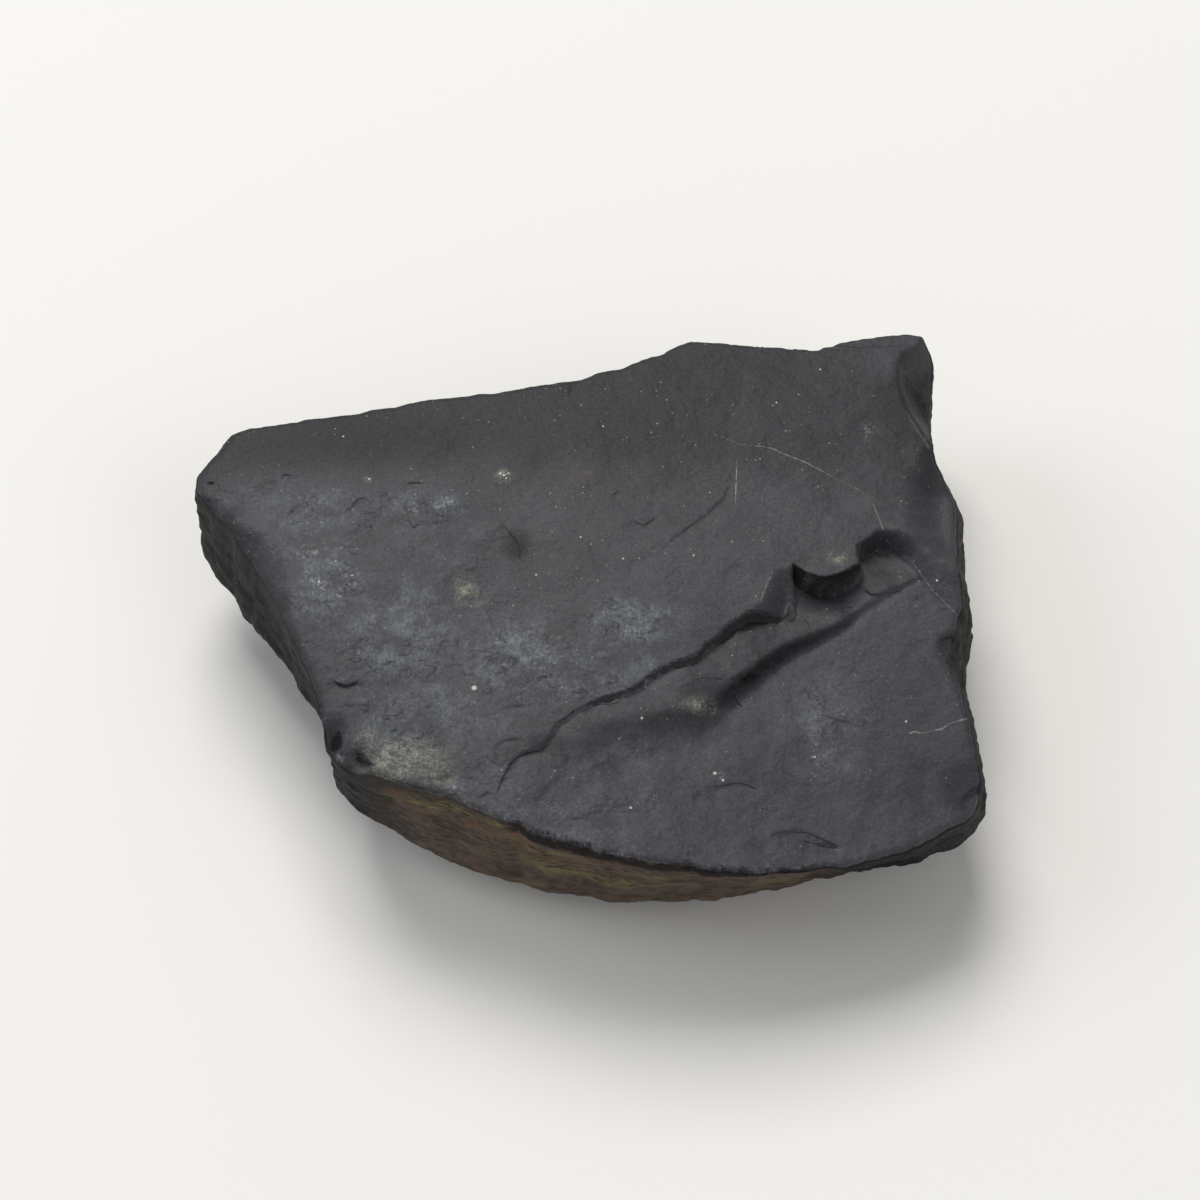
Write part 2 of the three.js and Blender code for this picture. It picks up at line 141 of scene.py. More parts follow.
# Depth below the dome by distance along the step, of the ledge and of the lower plate.
LEVELS_ALONG = [-1, 0, 3.5, 6.5, 8, 9.5, 11, 12.5, 14, 17.5, 20.5, 24]
LEDGE_DEPTH = [0, 0, 0.08, 0.16, 0.3, 0.22, 0.42, 0.46, 0.7, 0.95, 0.8, 0.7]
PLATE_DEPTH = [0, 0, 0.3, 0.68, 0.85, 1, 1.15, 1.2, 1.25, 1.05, 0.85, 0.75]
LEDGE_RUN = [2.6, 2.6, 2.4, 2.1, 1.6, 1, 0.7, 0.6, 0.5, 0.4, 0.3, 0.3]  # of the ledge's front
# Width in plan of the step's face by x: steep up to the pit, a gentle slope right of it.
STEP_RUN = [(11.9, 0.16), (12.6, 0.4), (13.4, 0.7), (14.2, 1.2), (15.2, 3)]
STEP_HEADING = (0.785, 0.62)

# Slopes that bevel the top: a line with its lower side on its right, the fall, its width in plan,
# and how far past the line it ends, if it does.
SLOPES = [
    # dark facet at the right back corner
    ([(15.6, 6.3), (14.7, 7.8), (14.2, 8.9), (13.85, 10.3), (13.9, 11.4), (14.5, 12.5),
      (15.2, 14)], 1.7, 1.4, np.inf),
    # back of the knob
    ([(15.4, 12.3), (12.5, 12), (10.8, 12.1)], 0.35, 0.5, np.inf),
    # right side, down to the lower plate
    ([(16.5, -0.6), (14.4, 1), (13.7, 2.6), (14, 5), (15, 7.2)], 0.6, 1.8, np.inf),
    # small facet beside the notch
    ([(6.8, -1.9), (7.6, -1.15), (7.75, -0.7), (7.95, -0.2), (8.2, 0.4), (9, 0.55),
      (9.8, -0.2), (10.8, -0.5)], 0.8, 1.3, 1.5),
    # grey facet along the left side
    ([(-17.6, 5.3), (-15.6, 4.4), (-14.4, 2.9), (-13.2, 2.3), (-12.5, 1), (-12.2, -1),
      (-11.7, -3.2), (-11, -5.6)], 0.5, 1.2, np.inf),
    # broken left front corner
    ([(-11, -6.4), (-9.9, -7.6), (-8.9, -8.4), (-8.4, -9.3), (-8, -10)], 1.5, 1.4, np.inf),
]

# Round hollows and swellings of the top: x, y, radius along x and y, depth.
HOLLOWS = [
    (-2.9, -0.9, 2.1, 2, 0.16), (1.4, -3, 3.6, 2.4, -0.1), (-9.5, -1.5, 3, 3.5, -0.08),
    (16.4, -9.5, 0.9, 0.9, 0.5),  # chipped right front corner
    (15.7, -2.8, 0.4, 0.5, 0.35),  # chip in the right side
    (-10.2, -7.5, 0.5, 0.6, 0.5),  # pits in the broken corner
    (-9.2, -8.4, 0.5, 0.4, 0.35),
    (5.3, -5.6, 0.8, 0.35, 0.15),  # below the ledge
]
# The same for the hollows that stop at the step's edge.
POCKETS = [
    (10.5, -0.3, 1.15, 0.6, 0.35),  # floor of the notch
    (13.1, 1.4, 0.9, 0.55, 0.15),  # floor of the pit
]

# The crack in the step's face, painted black over the face's shade: its half width by x.
SHADED_CRACK_WIDTHS = [
    (-1.4, NO_MARK), (-1, 0.02), (0, 0.03), (1.2, 0.05), (2.2, 0.03), (2.9, 0.03), (3.6, 0.07),
    (4.1, 0.12), (4.6, 0.13), (5, 0.08), (5.3, 0.05), (5.8, 0.06), (6.1, 0.1), (6.5, 0.15),
    (7.05, 0.18), (7.75, 0.15), (8.4, 0.1), (8.8, 0.05), (8.9, NO_MARK), (9.25, NO_MARK),
    (9.35, 0.08), (10.4, 0.09), (11.8, 0.06), (12, NO_MARK),
]

# Small scars where a chip came off: a line with its lower side on its right, depth, how far the
# chip's floor takes to rise again, and the half width of the black line of painted shade at its edge.
SCARS = [
    ([(-10.4, -4.85), (-10.15, -5.08), (-9.8, -5.2), (-9.5, -5.12), (-9.2, -4.92)],
     0.12, 0.4, 0.075),
    ([(-10.3, -4.4), (-10.05, -4.58), (-9.7, -4.62)], 0.03, 0.3, 0.02),
    ([(-8.25, -4.05), (-7.95, -4.1), (-7.7, -4.16)], 0.05, 0.3, 0.04),
    ([(-7.85, -4.6), (-7.7, -5.2), (-7.68, -5.7)], 0.02, 0.3, 0.018),
    ([(-3.1, -6.15), (-2.7, -6.3), (-2.2, -6.2)], 0.04, 0.3, 0.025),
    ([(-10.25, 3.2), (-9.85, 3.57), (-9.57, 3.97), (-9.05, 4.13)], 0.07, 0.45, 0.035),
    ([(-7.65, 4.73), (-7.15, 4.8), (-6.9, 4.8), (-6.6, 4.75)], 0.04, 0.3, 0.04),
    ([(-12.95, 5.3), (-12.7, 5.4), (-12.4, 5.3)], 0.06, 0.3, 0.05),
    ([(-13.6, 5), (-13.2, 5.1)], 0.03, 0.3, 0.03),
    ([(-11.65, -3.05), (-11.2, -2.95)], 0.05, 0.3, 0.03),
    ([(3.25, 1.64), (3.62, 1.35), (3.85, 1.43)], 0.03, 0.3, 0.03),
    ([(3.65, 1.45), (3.85, 1.74), (4.4, 2.24), (5.15, 2.84), (5.54, 3.22), (6.19, 3.97),
      (6.4, 4.66)], 0.04, 0.5, 0.03),
    ([(2.15, 2.85), (2.42, 2.58), (2.7, 2.45), (3.02, 2.69), (3.35, 3)], 0.05, 0.4, 0.035),
    ([(1.3, 3.93), (1.8, 4.33)], 0.03, 0.3, 0.025),
    ([(0.7, -1.77), (1.22, -1.55), (2.1, -1.25)], 0.02, 0.4, 0.02),
    ([(6.35, 0.64), (6.85, 0.43), (7.25, 0.05)], 0.03, 0.5, 0.02),
    ([(-3.35, 2.75), (-2.97, 2.11), (-2.69, 1.67), (-2.57, 1.3), (-2.66, 0.7)], 0.07, 0.7, 0.03),
    ([(7.27, 10.8), (7.25, 9.9), (7.16, 9.2), (6.8, 8.4), (6.25, 7.7)], 0.04, 0.7, 0.012),
    ([(4.55, -10.12), (4.9, -9.95)], 0.05, 0.3, 0.04),
    ([(5.05, -9.6), (5.65, -9.56), (6.1, -9.41), (6.55, -9.34), (7, -9.48), (7.4, -9.66)],
     0.08, 0.4, 0.04),
    ([(7.05, -10.36), (7.57, -10.48), (8.1, -10.66)], 0.04, 0.3, 0.02),
    ([(7.6, -11.82), (7.98, -11.58), (8.42, -11.48), (9.12, -11.43), (9.65, -11.62),
      (10.16, -11.89), (10.8, -12.04)], 0.12, 0.4, 0.035),
    ([(8.9, -11.8), (9.29, -11.85), (9.72, -11.97), (10.16, -12.05), (10.75, -12.09)],
     0.08, 0.3, 0.05),
    ([(7.45, -12.6), (7.33, -12.42), (7.13, -12.44), (7.03, -12.7)], 0.06, 0.2, 0.03),
    ([(-3.5, -10.3), (-3.25, -9.6), (-2.95, -8.97), (-2.6, -8.55), (-2.04, -8.37),
      (-1.64, -8.26), (-1.2, -7.85)], 0.09, 0.5, 0.05),
    ([(-4.3, -10.5), (-3.75, -10.15)], 0.05, 0.3, 0.04),
    ([(-3.8, -8.42), (-3.26, -7.9), (-2.65, -7.8), (-2.2, -7.87)], 0.05, 0.4, 0.02),
    ([(-2.05, -11.05), (-1.74, -10.37), (-1.33, -9.83), (-0.8, -9.26)], 0.04, 0.6, 0.015),
    ([(0.2, -6.28), (0.65, -6.15), (1.25, -6.1), (1.75, -5.95)], 0.02, 0.2, 0.035),
    ([(15.64, -10.05), (15.75, -9.64), (15.99, -9.29), (16.36, -8.99), (16.85, -8.93)],
     0.25, 0.8, 0.03),
    ([(15.1, -2.5), (15.41, -2.26), (15.66, -2.15), (15.95, -2.31)], 0.12, 0.4, 0.05),
    ([(12.1, 0.05), (12.33, -0.26), (12.59, -0.29), (12.95, -0.27)], 0.06, 0.3, 0.06),
    ([(13.2, -0.15), (13.49, -0.07), (13.8, -0.1)], 0.03, 0.3, 0.04),
    ([(14.15, -0.33), (14.5, -0.56)], 0.04, 0.3, 0.035),
    ([(10.9, -0.97), (11.33, -0.82), (11.72, -0.72)], 0.04, 0.3, 0.04),
    ([(4.5, -5.25), (4.65, -5), (5.01, -4.81), (5.81, -4.81), (6.3, -4.9)], 0.06, 0.3, 0.03),
    ([(6.2, -4.95), (6.59, -5.5), (6.85, -5.7)], 0.06, 0.3, 0.05),
    ([(9.6, -3.7), (10.2, -3.4), (10.9, -3.35)], 0.03, 0.5, 0.015),
]

# Shade painted black in hollows and on facets turned from the light: corners against the clock, how
# softly the painted shade fades in from its border, and its strength.
SHADED_PLACES = [
    # the notch, with painted black shade under its edge and softer painted shade in front
    ([(8.9, 0.95), (9, 0.3), (9.3, 0.05), (9.6, -0.16), (10, -0.32), (10.4, -0.37),
      (10.8, -0.28), (11.2, -0.08), (11.6, 0.14), (11.9, 0.32), (12.25, 0.95), (11.6, 0.7),
      (11.2, 0.47), (10.8, 0.27), (10.4, 0.17), (10, 0.22), (9.6, 0.37), (9.3, 0.6)],
     0.2, 0.6),
    ([(8.95, 0.8), (9, 0.35), (9.2, 0.15), (9.5, 0.05), (9.6, 0.3), (9.3, 0.5)], 0.12, 1),
    ([(9.1, 0.4), (9.4, -0.3), (10.1, -0.7), (10.9, -0.75), (11.6, -0.4), (12, 0.3),
      (11.5, 0.7), (10.5, 0.3), (9.6, 0.5)], 0.5, 0.12),
    # the pit
    ([(12.1, 1.8), (12.3, 1.55), (12.7, 1.45), (13.3, 1.3), (13.6, 1.5), (13.4, 1.95),
      (12.9, 2.15), (12.4, 2.05)], 0.35, 0.22),
    ([(11.7, 1.6), (12.6, 1.45), (13.4, 1.35), (14.2, 1), (14.6, 1), (14.4, 1.6),
      (13.9, 2.1), (13.4, 2.35), (12.8, 2.45), (12.2, 2.1)], 0.4, 0.06),
    # below the ledge
    ([(5.8, -4.8), (6.3, -5), (7, -4.9), (7.8, -4.3), (7.4, -4), (6.6, -4.4)], 0.3, 0.6),
    # the broken left front corner
    ([(-10.1, -6.9), (-10.5, -7.3), (-10.6, -7.8), (-10.3, -8), (-9.85, -7.9), (-9.8, -7.2)],
     0.3, 0.85),
    ([(-9.7, -8), (-9.6, -8.7), (-9, -9.1), (-8.1, -9.3), (-8.5, -8.4), (-9.2, -7.7)],
     0.45, 0.6),
    ([(-9.7, -8.5), (-8.6, -9.15), (-7.4, -9.5), (-6.2, -9.9), (-6.2, -10.4), (-8.4, -9.9),
      (-10, -9.1)], 0.35, 0.6),
    # the left back corner
    ([(-15.7, 3.9), (-15.2, 3.1), (-14.6, 2.8), (-14.4, 3), (-15, 3.6)], 0.4, 0.5),
    ([(-16.3, 5.15), (-15.9, 5), (-15.7, 5.15), (-16, 5.3)], 0.12, 0.8),
    # the facet beside the knob
    ([(15.4, 7.2), (15.9, 8), (15.9, 10), (15.6, 11), (14.9, 11.4), (14.3, 11.5),
      (13.9, 11), (14, 10), (14.35, 8.9), (14.8, 7.9)], 0.35, 0.22),
    # the chip in the right side
    ([(15.6, -2.2), (15.7, -3.6), (16.1, -4), (16.4, -1.4), (15.9, -1.3)], 0.3, 0.75),
]

# Thin pale marks: x, y, half width, then their strength.
PALE_MARKS = [
    # vein in the lower plate
    ([(13.6, -6.85, 0.02), (13.9, -6.7, 0.06), (14.2, -6.78, 0.03), (14.7, -6.65, 0.025),
      (15.05, -6.6, 0.05), (15.44, -6.32, 0.03), (15.95, -6.16, 0.045), (16.5, -6, 0.03)], 0.4),
    ([(6.78, 5.9, 0.035), (6.64, 3.6, 0.03)], 0.5),  # scratch
    # hairline
    ([(5.7, 7.3, 0.02), (6.3, 7.1, 0.03), (6.9, 6.75, 0.02), (7.9, 6.66, 0.04), (8.4, 6.54, 0.05),
      (8.8, 6.27, 0.035), (9.7, 5.87, 0.045), (10.9, 5.13, 0.03), (12.05, 4.45, 0.02),
      (12.5, 4, 0.015), (12.75, 3.2, 0.045), (12.98, 2.45, 0.035)], 0.27),
    ([(13, 2.3, 0.02), (13.5, 2, 0.02), (14.12, 1.37, 0.02), (15, -0.09, 0.03),
      (16.2, -1.5, 0.02)], 0.28),
    # lit edges
    ([(7.55, -1.3, 0.03), (7.75, -0.7, 0.05), (7.95, -0.2, 0.05), (8.2, 0.4, 0.03)], 0.16),
    ([(14.2, 8.85, 0.03), (14.7, 7.8, 0.08), (15.2, 6.8, 0.09)], 0.14),
    ([(-10.4, -8.1, 0.1), (-10.2, -8.35, 0.16), (-10.3, -8.6, 0.08)], 0.35),
    ([(15.1, -2.95, 0.04), (15.2, -3.1, 0.07)], 0.6),
]

# How dark the painted shade is in the band at the ledge's edge, by x.
LEDGE_SHADE = [
    (4.2, 0), (5.4, 0.25), (6.2, 0.6), (7.4, 0.63), (8.4, 0.55), (9.4, 0.47), (10.4, 0.35),
    (11.5, 0.2), (12.6, 0),
]

# ---- Small helpers ----


def mix(a, b, t):
    return a + (b - a) * t


def smooth(t):
    c = np.clip(t, 0.0, 1.0)
    return c * c * (3 - 2 * c)


def grain(i, j, k):
    """A repeatable random number from -1 to 1 for a point of a grid."""
    s = np.sin(i * 127.1 + j * 311.7 + k * 74.7) * 43758.5453
    return 2 * (s - np.floor(s)) - 1


def noise(x, y, z):
    """Smooth noise from -1 to 1, one bump per unit."""
    x, y, z = np.broadcast_arrays(x, y, z)
    i, j, k = np.floor(x), np.floor(y), np.floor(z)
    u, v, w = smooth(x - i), smooth(y - j), smooth(z - k)

    def row(b, c):
        return mix(grain(i, j + b, k + c), grain(i + 1, j + b, k + c), u)

    return mix(mix(row(0, 0), row(1, 0), v), mix(row(0, 1), row(1, 1), v), w)


def fractal(x, y, z, size, octaves=3):
    """Noise of several sizes, each half as big and half as strong as the one before."""
    total = 0.0
    for n in range(octaves):
        scale = 2.0**n / size
        total = total + noise(x * scale + 7 * n, y * scale - 3 * n, z * scale + 5 * n) / 2.0**n
    return total


def lengths_along(line):
    """The length of a line up to each of its points."""
    steps = np.diff(np.asarray(line, float)[:, :2], axis=0)
    return np.concatenate([[0.0], np.cumsum(np.hypot(*steps.T))])


def nearest(line, x, y):
    """The nearest place of an open line to each point: its x and y, the signed distance to it,
    positive on the line's right-hand side, and the length of the line up to it."""
    line = np.asarray(line, float)
    pieces = np.diff(line, axis=0)
    lengths = np.hypot(*pieces.T)
    before = lengths_along(line)
    square = np.full(x.shape, np.inf)
    px, py, side, where = (np.zeros(x.shape) for _ in range(4))
    for i, ((ax, ay), (dx, dy), length) in enumerate(zip(line, pieces, lengths)):
        t = np.clip(((x - ax) * dx + (y - ay) * dy) / length**2, 0, 1)
        qx, qy = ax + t * dx, ay + t * dy
        # At a corner the two neighbouring pieces decide the side together.
        heading = np.array([dx, dy]) / length
        ahead = pieces[i + 1] / lengths[i + 1] if i + 1 < len(pieces) else 0 * heading
        behind = pieces[i - 1] / lengths[i - 1] if i > 0 else 0 * heading
        hx = heading[0] + np.where(t == 1, ahead[0], 0) + np.where(t == 0, behind[0], 0)
        hy = heading[1] + np.where(t == 1, ahead[1], 0) + np.where(t == 0, behind[1], 0)
        here = (x - qx) ** 2 + (y - qy) ** 2
        closer = here < square
        square = np.where(closer, here, square)
        px, py = np.where(closer, qx, px), np.where(closer, qy, py)
        side = np.where(closer, (x - qx) * hy - (y - qy) * hx, side)
        where = np.where(closer, before[i] + t * length, where)
    return px, py, np.where(side < 0, -1, 1) * np.sqrt(square), where


def inside_by(corners, x, y):
    """How far places lie inside a closed outline, below zero outside it."""
    away = np.abs(nearest(corners + corners[:1], x, y)[2])
    inside = np.zeros(x.shape, bool)
    for (ax, ay), (bx, by) in zip(corners, corners[1:] + corners[:1]):
        if ay != by:
            inside ^= ((y < ay) != (y < by)) & (x < ax + (y - ay) * (bx - ax) / (by - ay))
    return np.where(inside, away, -away)


def resampled(line, spacing):
    """The same line in pieces of about one length, every column of it."""
    line = np.asarray(line, float)
    lengths = lengths_along(line)
    at = np.linspace(0, lengths[-1], max(3, int(lengths[-1] / spacing)))
    return at, np.stack([np.interp(at, lengths, column) for column in line.T], axis=1)


def ragged(line, spacing, amount, seed):
    """The same line in short pieces, each point moved aside a little."""
    at, points = resampled(line, spacing)
    points[:, 0] += amount * fractal(at, seed, 0.5, 1.3, 3)
    points[:, 1] += amount * fractal(at, seed + 40, 0.5, 1.3, 3)
    return points


def thin_marks(lines, x, y):
    """The thin mark nearest to each point: how far the point lies past the mark's middle, the half
    width of the mark there, which is below zero away from every mark, and the mark's number."""
    past, width, number = np.zeros(x.shape), np.full(x.shape, NO_MARK), np.zeros(x.shape, int)
    for n, line in enumerate(lines):
        line = np.asarray(line, float)
        (ax, ay, _), (bx, by, _) = line.min(axis=0) - 0.4, line.max(axis=0) + 0.4
        near = np.flatnonzero((x > ax) & (x < bx) & (y > ay) & (y < by))
        distance, where = nearest(line[:, :2], x[near], y[near])[2:]
        lengths = lengths_along(line)
        half = np.interp(where, lengths, line[:, 2])
        beside = (where > 0) & (where < lengths[-1]) & (np.abs(distance) < half + 0.13)
        nearer = beside & (half - np.abs(distance) > width[near] - np.abs(past[near]))
        chosen = near[nearer]
        past[chosen], width[chosen], number[chosen] = distance[nearer], half[nearer], n
    return past, width, number


def tapered(line, half):
    """A mark of one half width along a line, running out to nothing at both ends."""
    at, points = resampled(line, 0.12)
    ends = np.minimum(at, at[-1] - at) / min(0.3, 0.4 * at[-1])
    return np.column_stack([points, half * np.clip(ends, 0, 1)])


# ---- The top ----

step_line = ragged(STEP, 0.2, 0.09, 3)
ledge_line = ragged(LEDGE, 0.3, 0.13, 11)


def dome(x, y):
    return CROWN - DOME_X * x * x - DOME_Y * y * y + LEAN_Y * y


def along_step(x, y):
    return (x - STEP[0][0]) * STEP_HEADING[0] + (y - STEP[0][1]) * STEP_HEADING[1]


def hollow_depth(hollows, x, y):
    depth = 0.0
    for cx, cy, rx, ry, deep in hollows:
        r = np.hypot((x - cx) / rx, (y - cy) / ry)
        depth = depth + deep * smooth(1 - r / 2)
    return depth


def scar_share(line, reach, x, y):
    """How deep a scar is at a place, from 0 to 1."""
    past, where = nearest(line, x, y)[2:]
    length = lengths_along(line)[-1]
    ends = smooth(np.minimum(where, length - where) * 5 / length)
    return smooth(past / 0.08 + 0.5) * np.exp(-np.maximum(past, 0) / reach) * ends


def steps_at(x, y):
    """How far places lie past the step and past the ledge's edge, and the share of each drop."""
    step_past = nearest(step_line, x, y)[2]
    ledge_past = nearest(ledge_line, x, y)[2]
    ledge_run = np.interp(along_step(x, y), LEVELS_ALONG, LEDGE_RUN)
    past_step = smooth(step_past / np.interp(x, *zip(*STEP_RUN)) + 0.5)
    past_ledge = past_step * smooth(ledge_past / ledge_run + 0.5)
    return step_past, ledge_past, past_step, past_ledge


def top_height(x, y):
    along = along_step(x, y)
    ledge = np.interp(along, LEVELS_ALONG, LEDGE_DEPTH)
    plate = np.interp(along, LEVELS_ALONG, PLATE_DEPTH)
    step_past, ledge_past, past_step, past_ledge = steps_at(x, y)
    depth = ledge * past_step + (plate - ledge) * past_ledge
    # The foot of each step is worn into a little trough.
    below_step = past_step * np.exp(-np.maximum(step_past, 0) / STEP_TROUGH_WIDTH)
    below_ledge = past_ledge * np.exp(-np.maximum(ledge_past, 0) / LEDGE_TROUGH_WIDTH)
    troughs = STEP_TROUGH * below_step + LEDGE_TROUGH * below_ledge
    depth = depth + smooth(along / 6) * troughs
    for line, fall, run, end in SLOPES:
        past = nearest(line, x, y)[2]
        down = fall * smooth(past / run) * smooth((end - past) * 2)
        # A slope with an end runs out into the ledge and never cuts below it.
        depth = np.maximum(depth, down if end == np.inf else np.minimum(down, ledge))
    depth = depth + hollow_depth(HOLLOWS, x, y) + past_step * hollow_depth(POCKETS, x, y)
    for line, deep, reach, _ in SCARS:
        depth = depth + deep * scar_share(line, reach, x, y)
    swell = 0.08 * noise(x / 4.5, y / 3.5, 1) + 0.035 * noise(x / 1.6, y / 1.3, 2)
    rough = 0.014 * fractal(x, y, 0.0, 0.9) + 0.05 * below_step * fractal(x, y, 4.0, 0.4)
    coarse = np.clip(past_ledge + 0.5 * below_ledge, 0, 1)  # the lower plate is less even
    uneven = 0.02 * coarse + 0.05 * smooth(along / 6) * past_step * np.exp(-(ledge_past**2))
    return dome(x, y) - depth + swell + rough + uneven * fractal(x, y, 9.0, 1.1)


def gather(x, y, reach=0.42):
    """Draws the points near the step up to it, so that the step keeps a clean edge."""
    px, py, distance, _ = nearest(step_line, x, y)
    away = np.maximum(np.abs(distance), 1e-6)
    close = mix(0.08, reach, (away / reach) ** 1.5)
    k = mix(1.0, close / away, smooth(along_step(x, y) / 3))
    k = np.where(away < reach, k, 1.0)
    return px + (x - px) * k, py + (y - py) * k


# ---- The outline ----

rim_table = np.array(RIM + RIM[:1])
rim_lengths = lengths_along(rim_table)


def plain_rim(turn):
    want = (turn - np.floor(turn)) * rim_lengths[-1]
    return [np.interp(want, rim_lengths, rim_table[:, n]) for n in range(4)]


def outward_at(turn, reach=1.5):
    """The direction straight out from the rim, evened out over a few millimetres."""
    step = reach / rim_lengths[-1]
    ax, ay = plain_rim(turn - step)[:2]
    bx, by = plain_rim(turn + step)[:2]
    length = np.hypot(bx - ax, by - ay)
    return (by - ay) / length, -(bx - ax) / length


def rim_at(turn):
    """The crumbled rim, the lean of the side and the height of the widest part."""
    x, y, lean, widest = plain_rim(turn)
    ox, oy = outward_at(turn, 0.4)
    crumble = 0.09 * fractal(x, y, 2.0, 0.9, 4)
    return x + ox * crumble, y + oy * crumble, lean, widest


def foot_at(angle):
    """Where rays from the middle leave the flat spot."""
    c, s = np.cos(angle), np.sin(angle)
    reach = np.zeros(angle.shape)
    for (ax, ay), (bx, by) in zip(FOOT, FOOT[1:] + FOOT[:1]):
        dx, dy = bx - ax, by - ay
        cross = c * dy - s * dx
        t = (ax * dy - ay * dx) / cross
        along = (ax * s - ay * c) / cross
        reach = np.where((t > 0) & (along >= 0) & (along <= 1), np.maximum(reach, t), reach)
    return reach * c, reach * s


# ---- The rings of points ----


def shelf_at(x, y, z, thickness):
    """How far a place lies from the middle of its layer, from -0.5 to 0.5 with a quick change
    between layers, for layers of one thickness that dip a little to the left."""
    layer = (z + 0.05 * x + 0.4 * noise(x / 6, y / 6, 5)) / thickness
    return np.floor(layer) + smooth((layer - np.floor(layer)) * 2.2 - 0.6) - layer


def top_points(turn, share):
    """Points of the top, from its middle to the rim, and how far each lies below the rim, which is
    less than zero by its distance in from the rim."""
    rx, ry, _, _ = rim_at(turn)
    x, y = gather(rx * share, ry * share)
    edge = np.hypot(rx, ry) * (1 - share)  # distance in from the rim
    z = top_height(x, y) - WORN_DEPTH * np.clip(1 - edge / WORN_WIDTH, 0, 1) ** 2
    return np.stack([x, y, z], axis=1), -edge


def side_points(turn, share):
    """Points of the side, from the rim to the widest part, and how far each lies below the rim."""
    rx, ry, lean, widest = rim_at(turn)
    ox, oy = outward_at(turn)
    top = top_height(rx, ry) - WORN_DEPTH
    z = mix(top, widest, share)
    shelf = 0.12 * shelf_at(rx, ry, z, THICK_LAYER) + 0.07 * shelf_at(rx + 9, ry, z, THIN_LAYER)
    rough = 0.16 * noise(rx / 1.4, ry / 1.4, z / 0.8) + 0.06 * fractal(rx, ry, 2 * z, 0.7)
    bite = BITE * np.exp(-(((top - z - BITE_LEVEL) / BITE_HEIGHT) ** 2))
    bite = bite * smooth(fractal(rx, ry, z, 1.1) + 0.6)
    out = lean * share**0.85 + (rough + shelf - bite) * smooth(share * 3) + 0.05 * smooth(share * 9)
    return np.stack([rx + ox * out, ry + oy * out, z], axis=1), top - z


def under_points(turn, share):
    """Points of the underside, from the widest part in to the flat spot."""
    x, y, z = side_points(turn, np.ones(turn.shape))[0].T
    fx, fy = foot_at(np.arctan2(y, x))
    px, py = mix(x, fx, share), mix(y, fy, share)
    belly = 1.1 + 0.6 * noise(x / 6, y / 6, 8)
    plain = z * (1 - share) ** belly
    rough = 0.4 * noise(px / 2.6, py / 2.6, 9) + 0.18 * noise(px / 1.1, py / 1.1, 10)
    rough = rough + 0.06 * fractal(px, py, 3.0, 0.6)
    fade = smooth(share * 5) * smooth((1 - share) * 4)
    height = plain + (rough + shelf_at(px, py, plain, UNDER_LAYER)) * fade
    return np.stack([px, py, np.maximum(0, height)], axis=1)


def ring_places(counts, shares):
    """The turns and shares of all points of some rings, one after another."""
    turns = np.concatenate([np.arange(count) / count for count in counts])
    return turns, np.repeat(shares, counts)


def make_points():
    """All points in rings from the middle of the top, out over the rim, down the side and in under
    the stone, the number of points in each ring, and how far each point lies below the rim."""
    top_shares = np.arange(1, TOP_ROWS) / TOP_ROWS
    top_counts = np.maximum(6, np.round(ROUND * top_shares)).astype(int)
    side_shares = np.arange(SIDE_ROWS + 1) / SIDE_ROWS
    side_counts = np.full(SIDE_ROWS + 1, ROUND)
    under_shares = np.arange(1, UNDER_ROWS + 1) / UNDER_ROWS
    under_counts = np.round(mix(ROUND, FOOT_SIDES, under_shares**0.7)).astype(int)
    crown = top_height(np.zeros(1), np.zeros(1))[0]
    top, top_drop = top_points(*ring_places(top_counts, top_shares))
    side, side_drop = side_points(*ring_places(side_counts, side_shares))
    under = under_points(*ring_places(under_counts, under_shares))
    points = np.vstack([[[0.0, 0.0, crown]], top, side, under, [[0.0, 0.0, 0.0]]])
    counts = np.concatenate([[1], top_counts, side_counts, under_counts, [1]])
    below = np.full(len(under) + 1, FAR_DOWN)
    drops = np.concatenate([[FAR_IN], top_drop, side_drop, below])
    return points, counts, drops


def join_rings(faces, inner, inner_start, outer, outer_start, freedom):
    """Joins two neighbouring rings with triangles that face away from the stone. Within the given
    freedom, the shorter of the two ways across each gap is taken, with height counting more."""
    n, m = len(inner), len(outer)
    if n == 1:
        faces.extend((inner_start, outer_start + j, outer_start + (j + 1) % m) for j in range(m))
        return
    if m == 1:
        faces.extend((inner_start + i, outer_start, inner_start + (i + 1) % n) for i in range(n))
        return
    tall = np.array([1, 1, 4])
    a = np.vstack([inner, inner[:1]]) * tall
    b = np.vstack([outer, outer[:1]]) * tall
    slack = freedom / min(n, m) + 1e-9
    i = j = 0
    while i < n or j < m:
        lead = (i + 1) / n - (j + 1) / m
        on_inner = lead < 0
        if freedom and abs(lead) <= slack and i < n and j < m:
            on_inner = math.dist(a[i + 1], b[j]) < math.dist(a[i], b[j + 1])
        if j >= m or (i < n and on_inner):
            faces.append((inner_start + i, outer_start + j % m, inner_start + (i + 1) % n))
            i += 1
        else:
            faces.append((inner_start + i % n, outer_start + j, outer_start + (j + 1) % m))
            j += 1


# ---- Colour masks ----

# The line between the plain back of the top and the bloomed front, with the bloom on its right.
BLOOM_EDGE = [
    (-16.6, 4.4), (-13.6, 5.3), (-12.1, 5.2), (-9.9, 4.7), (-8.1, 4.4), (-6.6, 4.8), (-4.5, 3.8),
    (-3.4, 2.3), (-2.4, -1.2), (-0.6, -1.6), (1.5, -1), (4, -1.3), (6, -2.2), (8, -3.2),
]
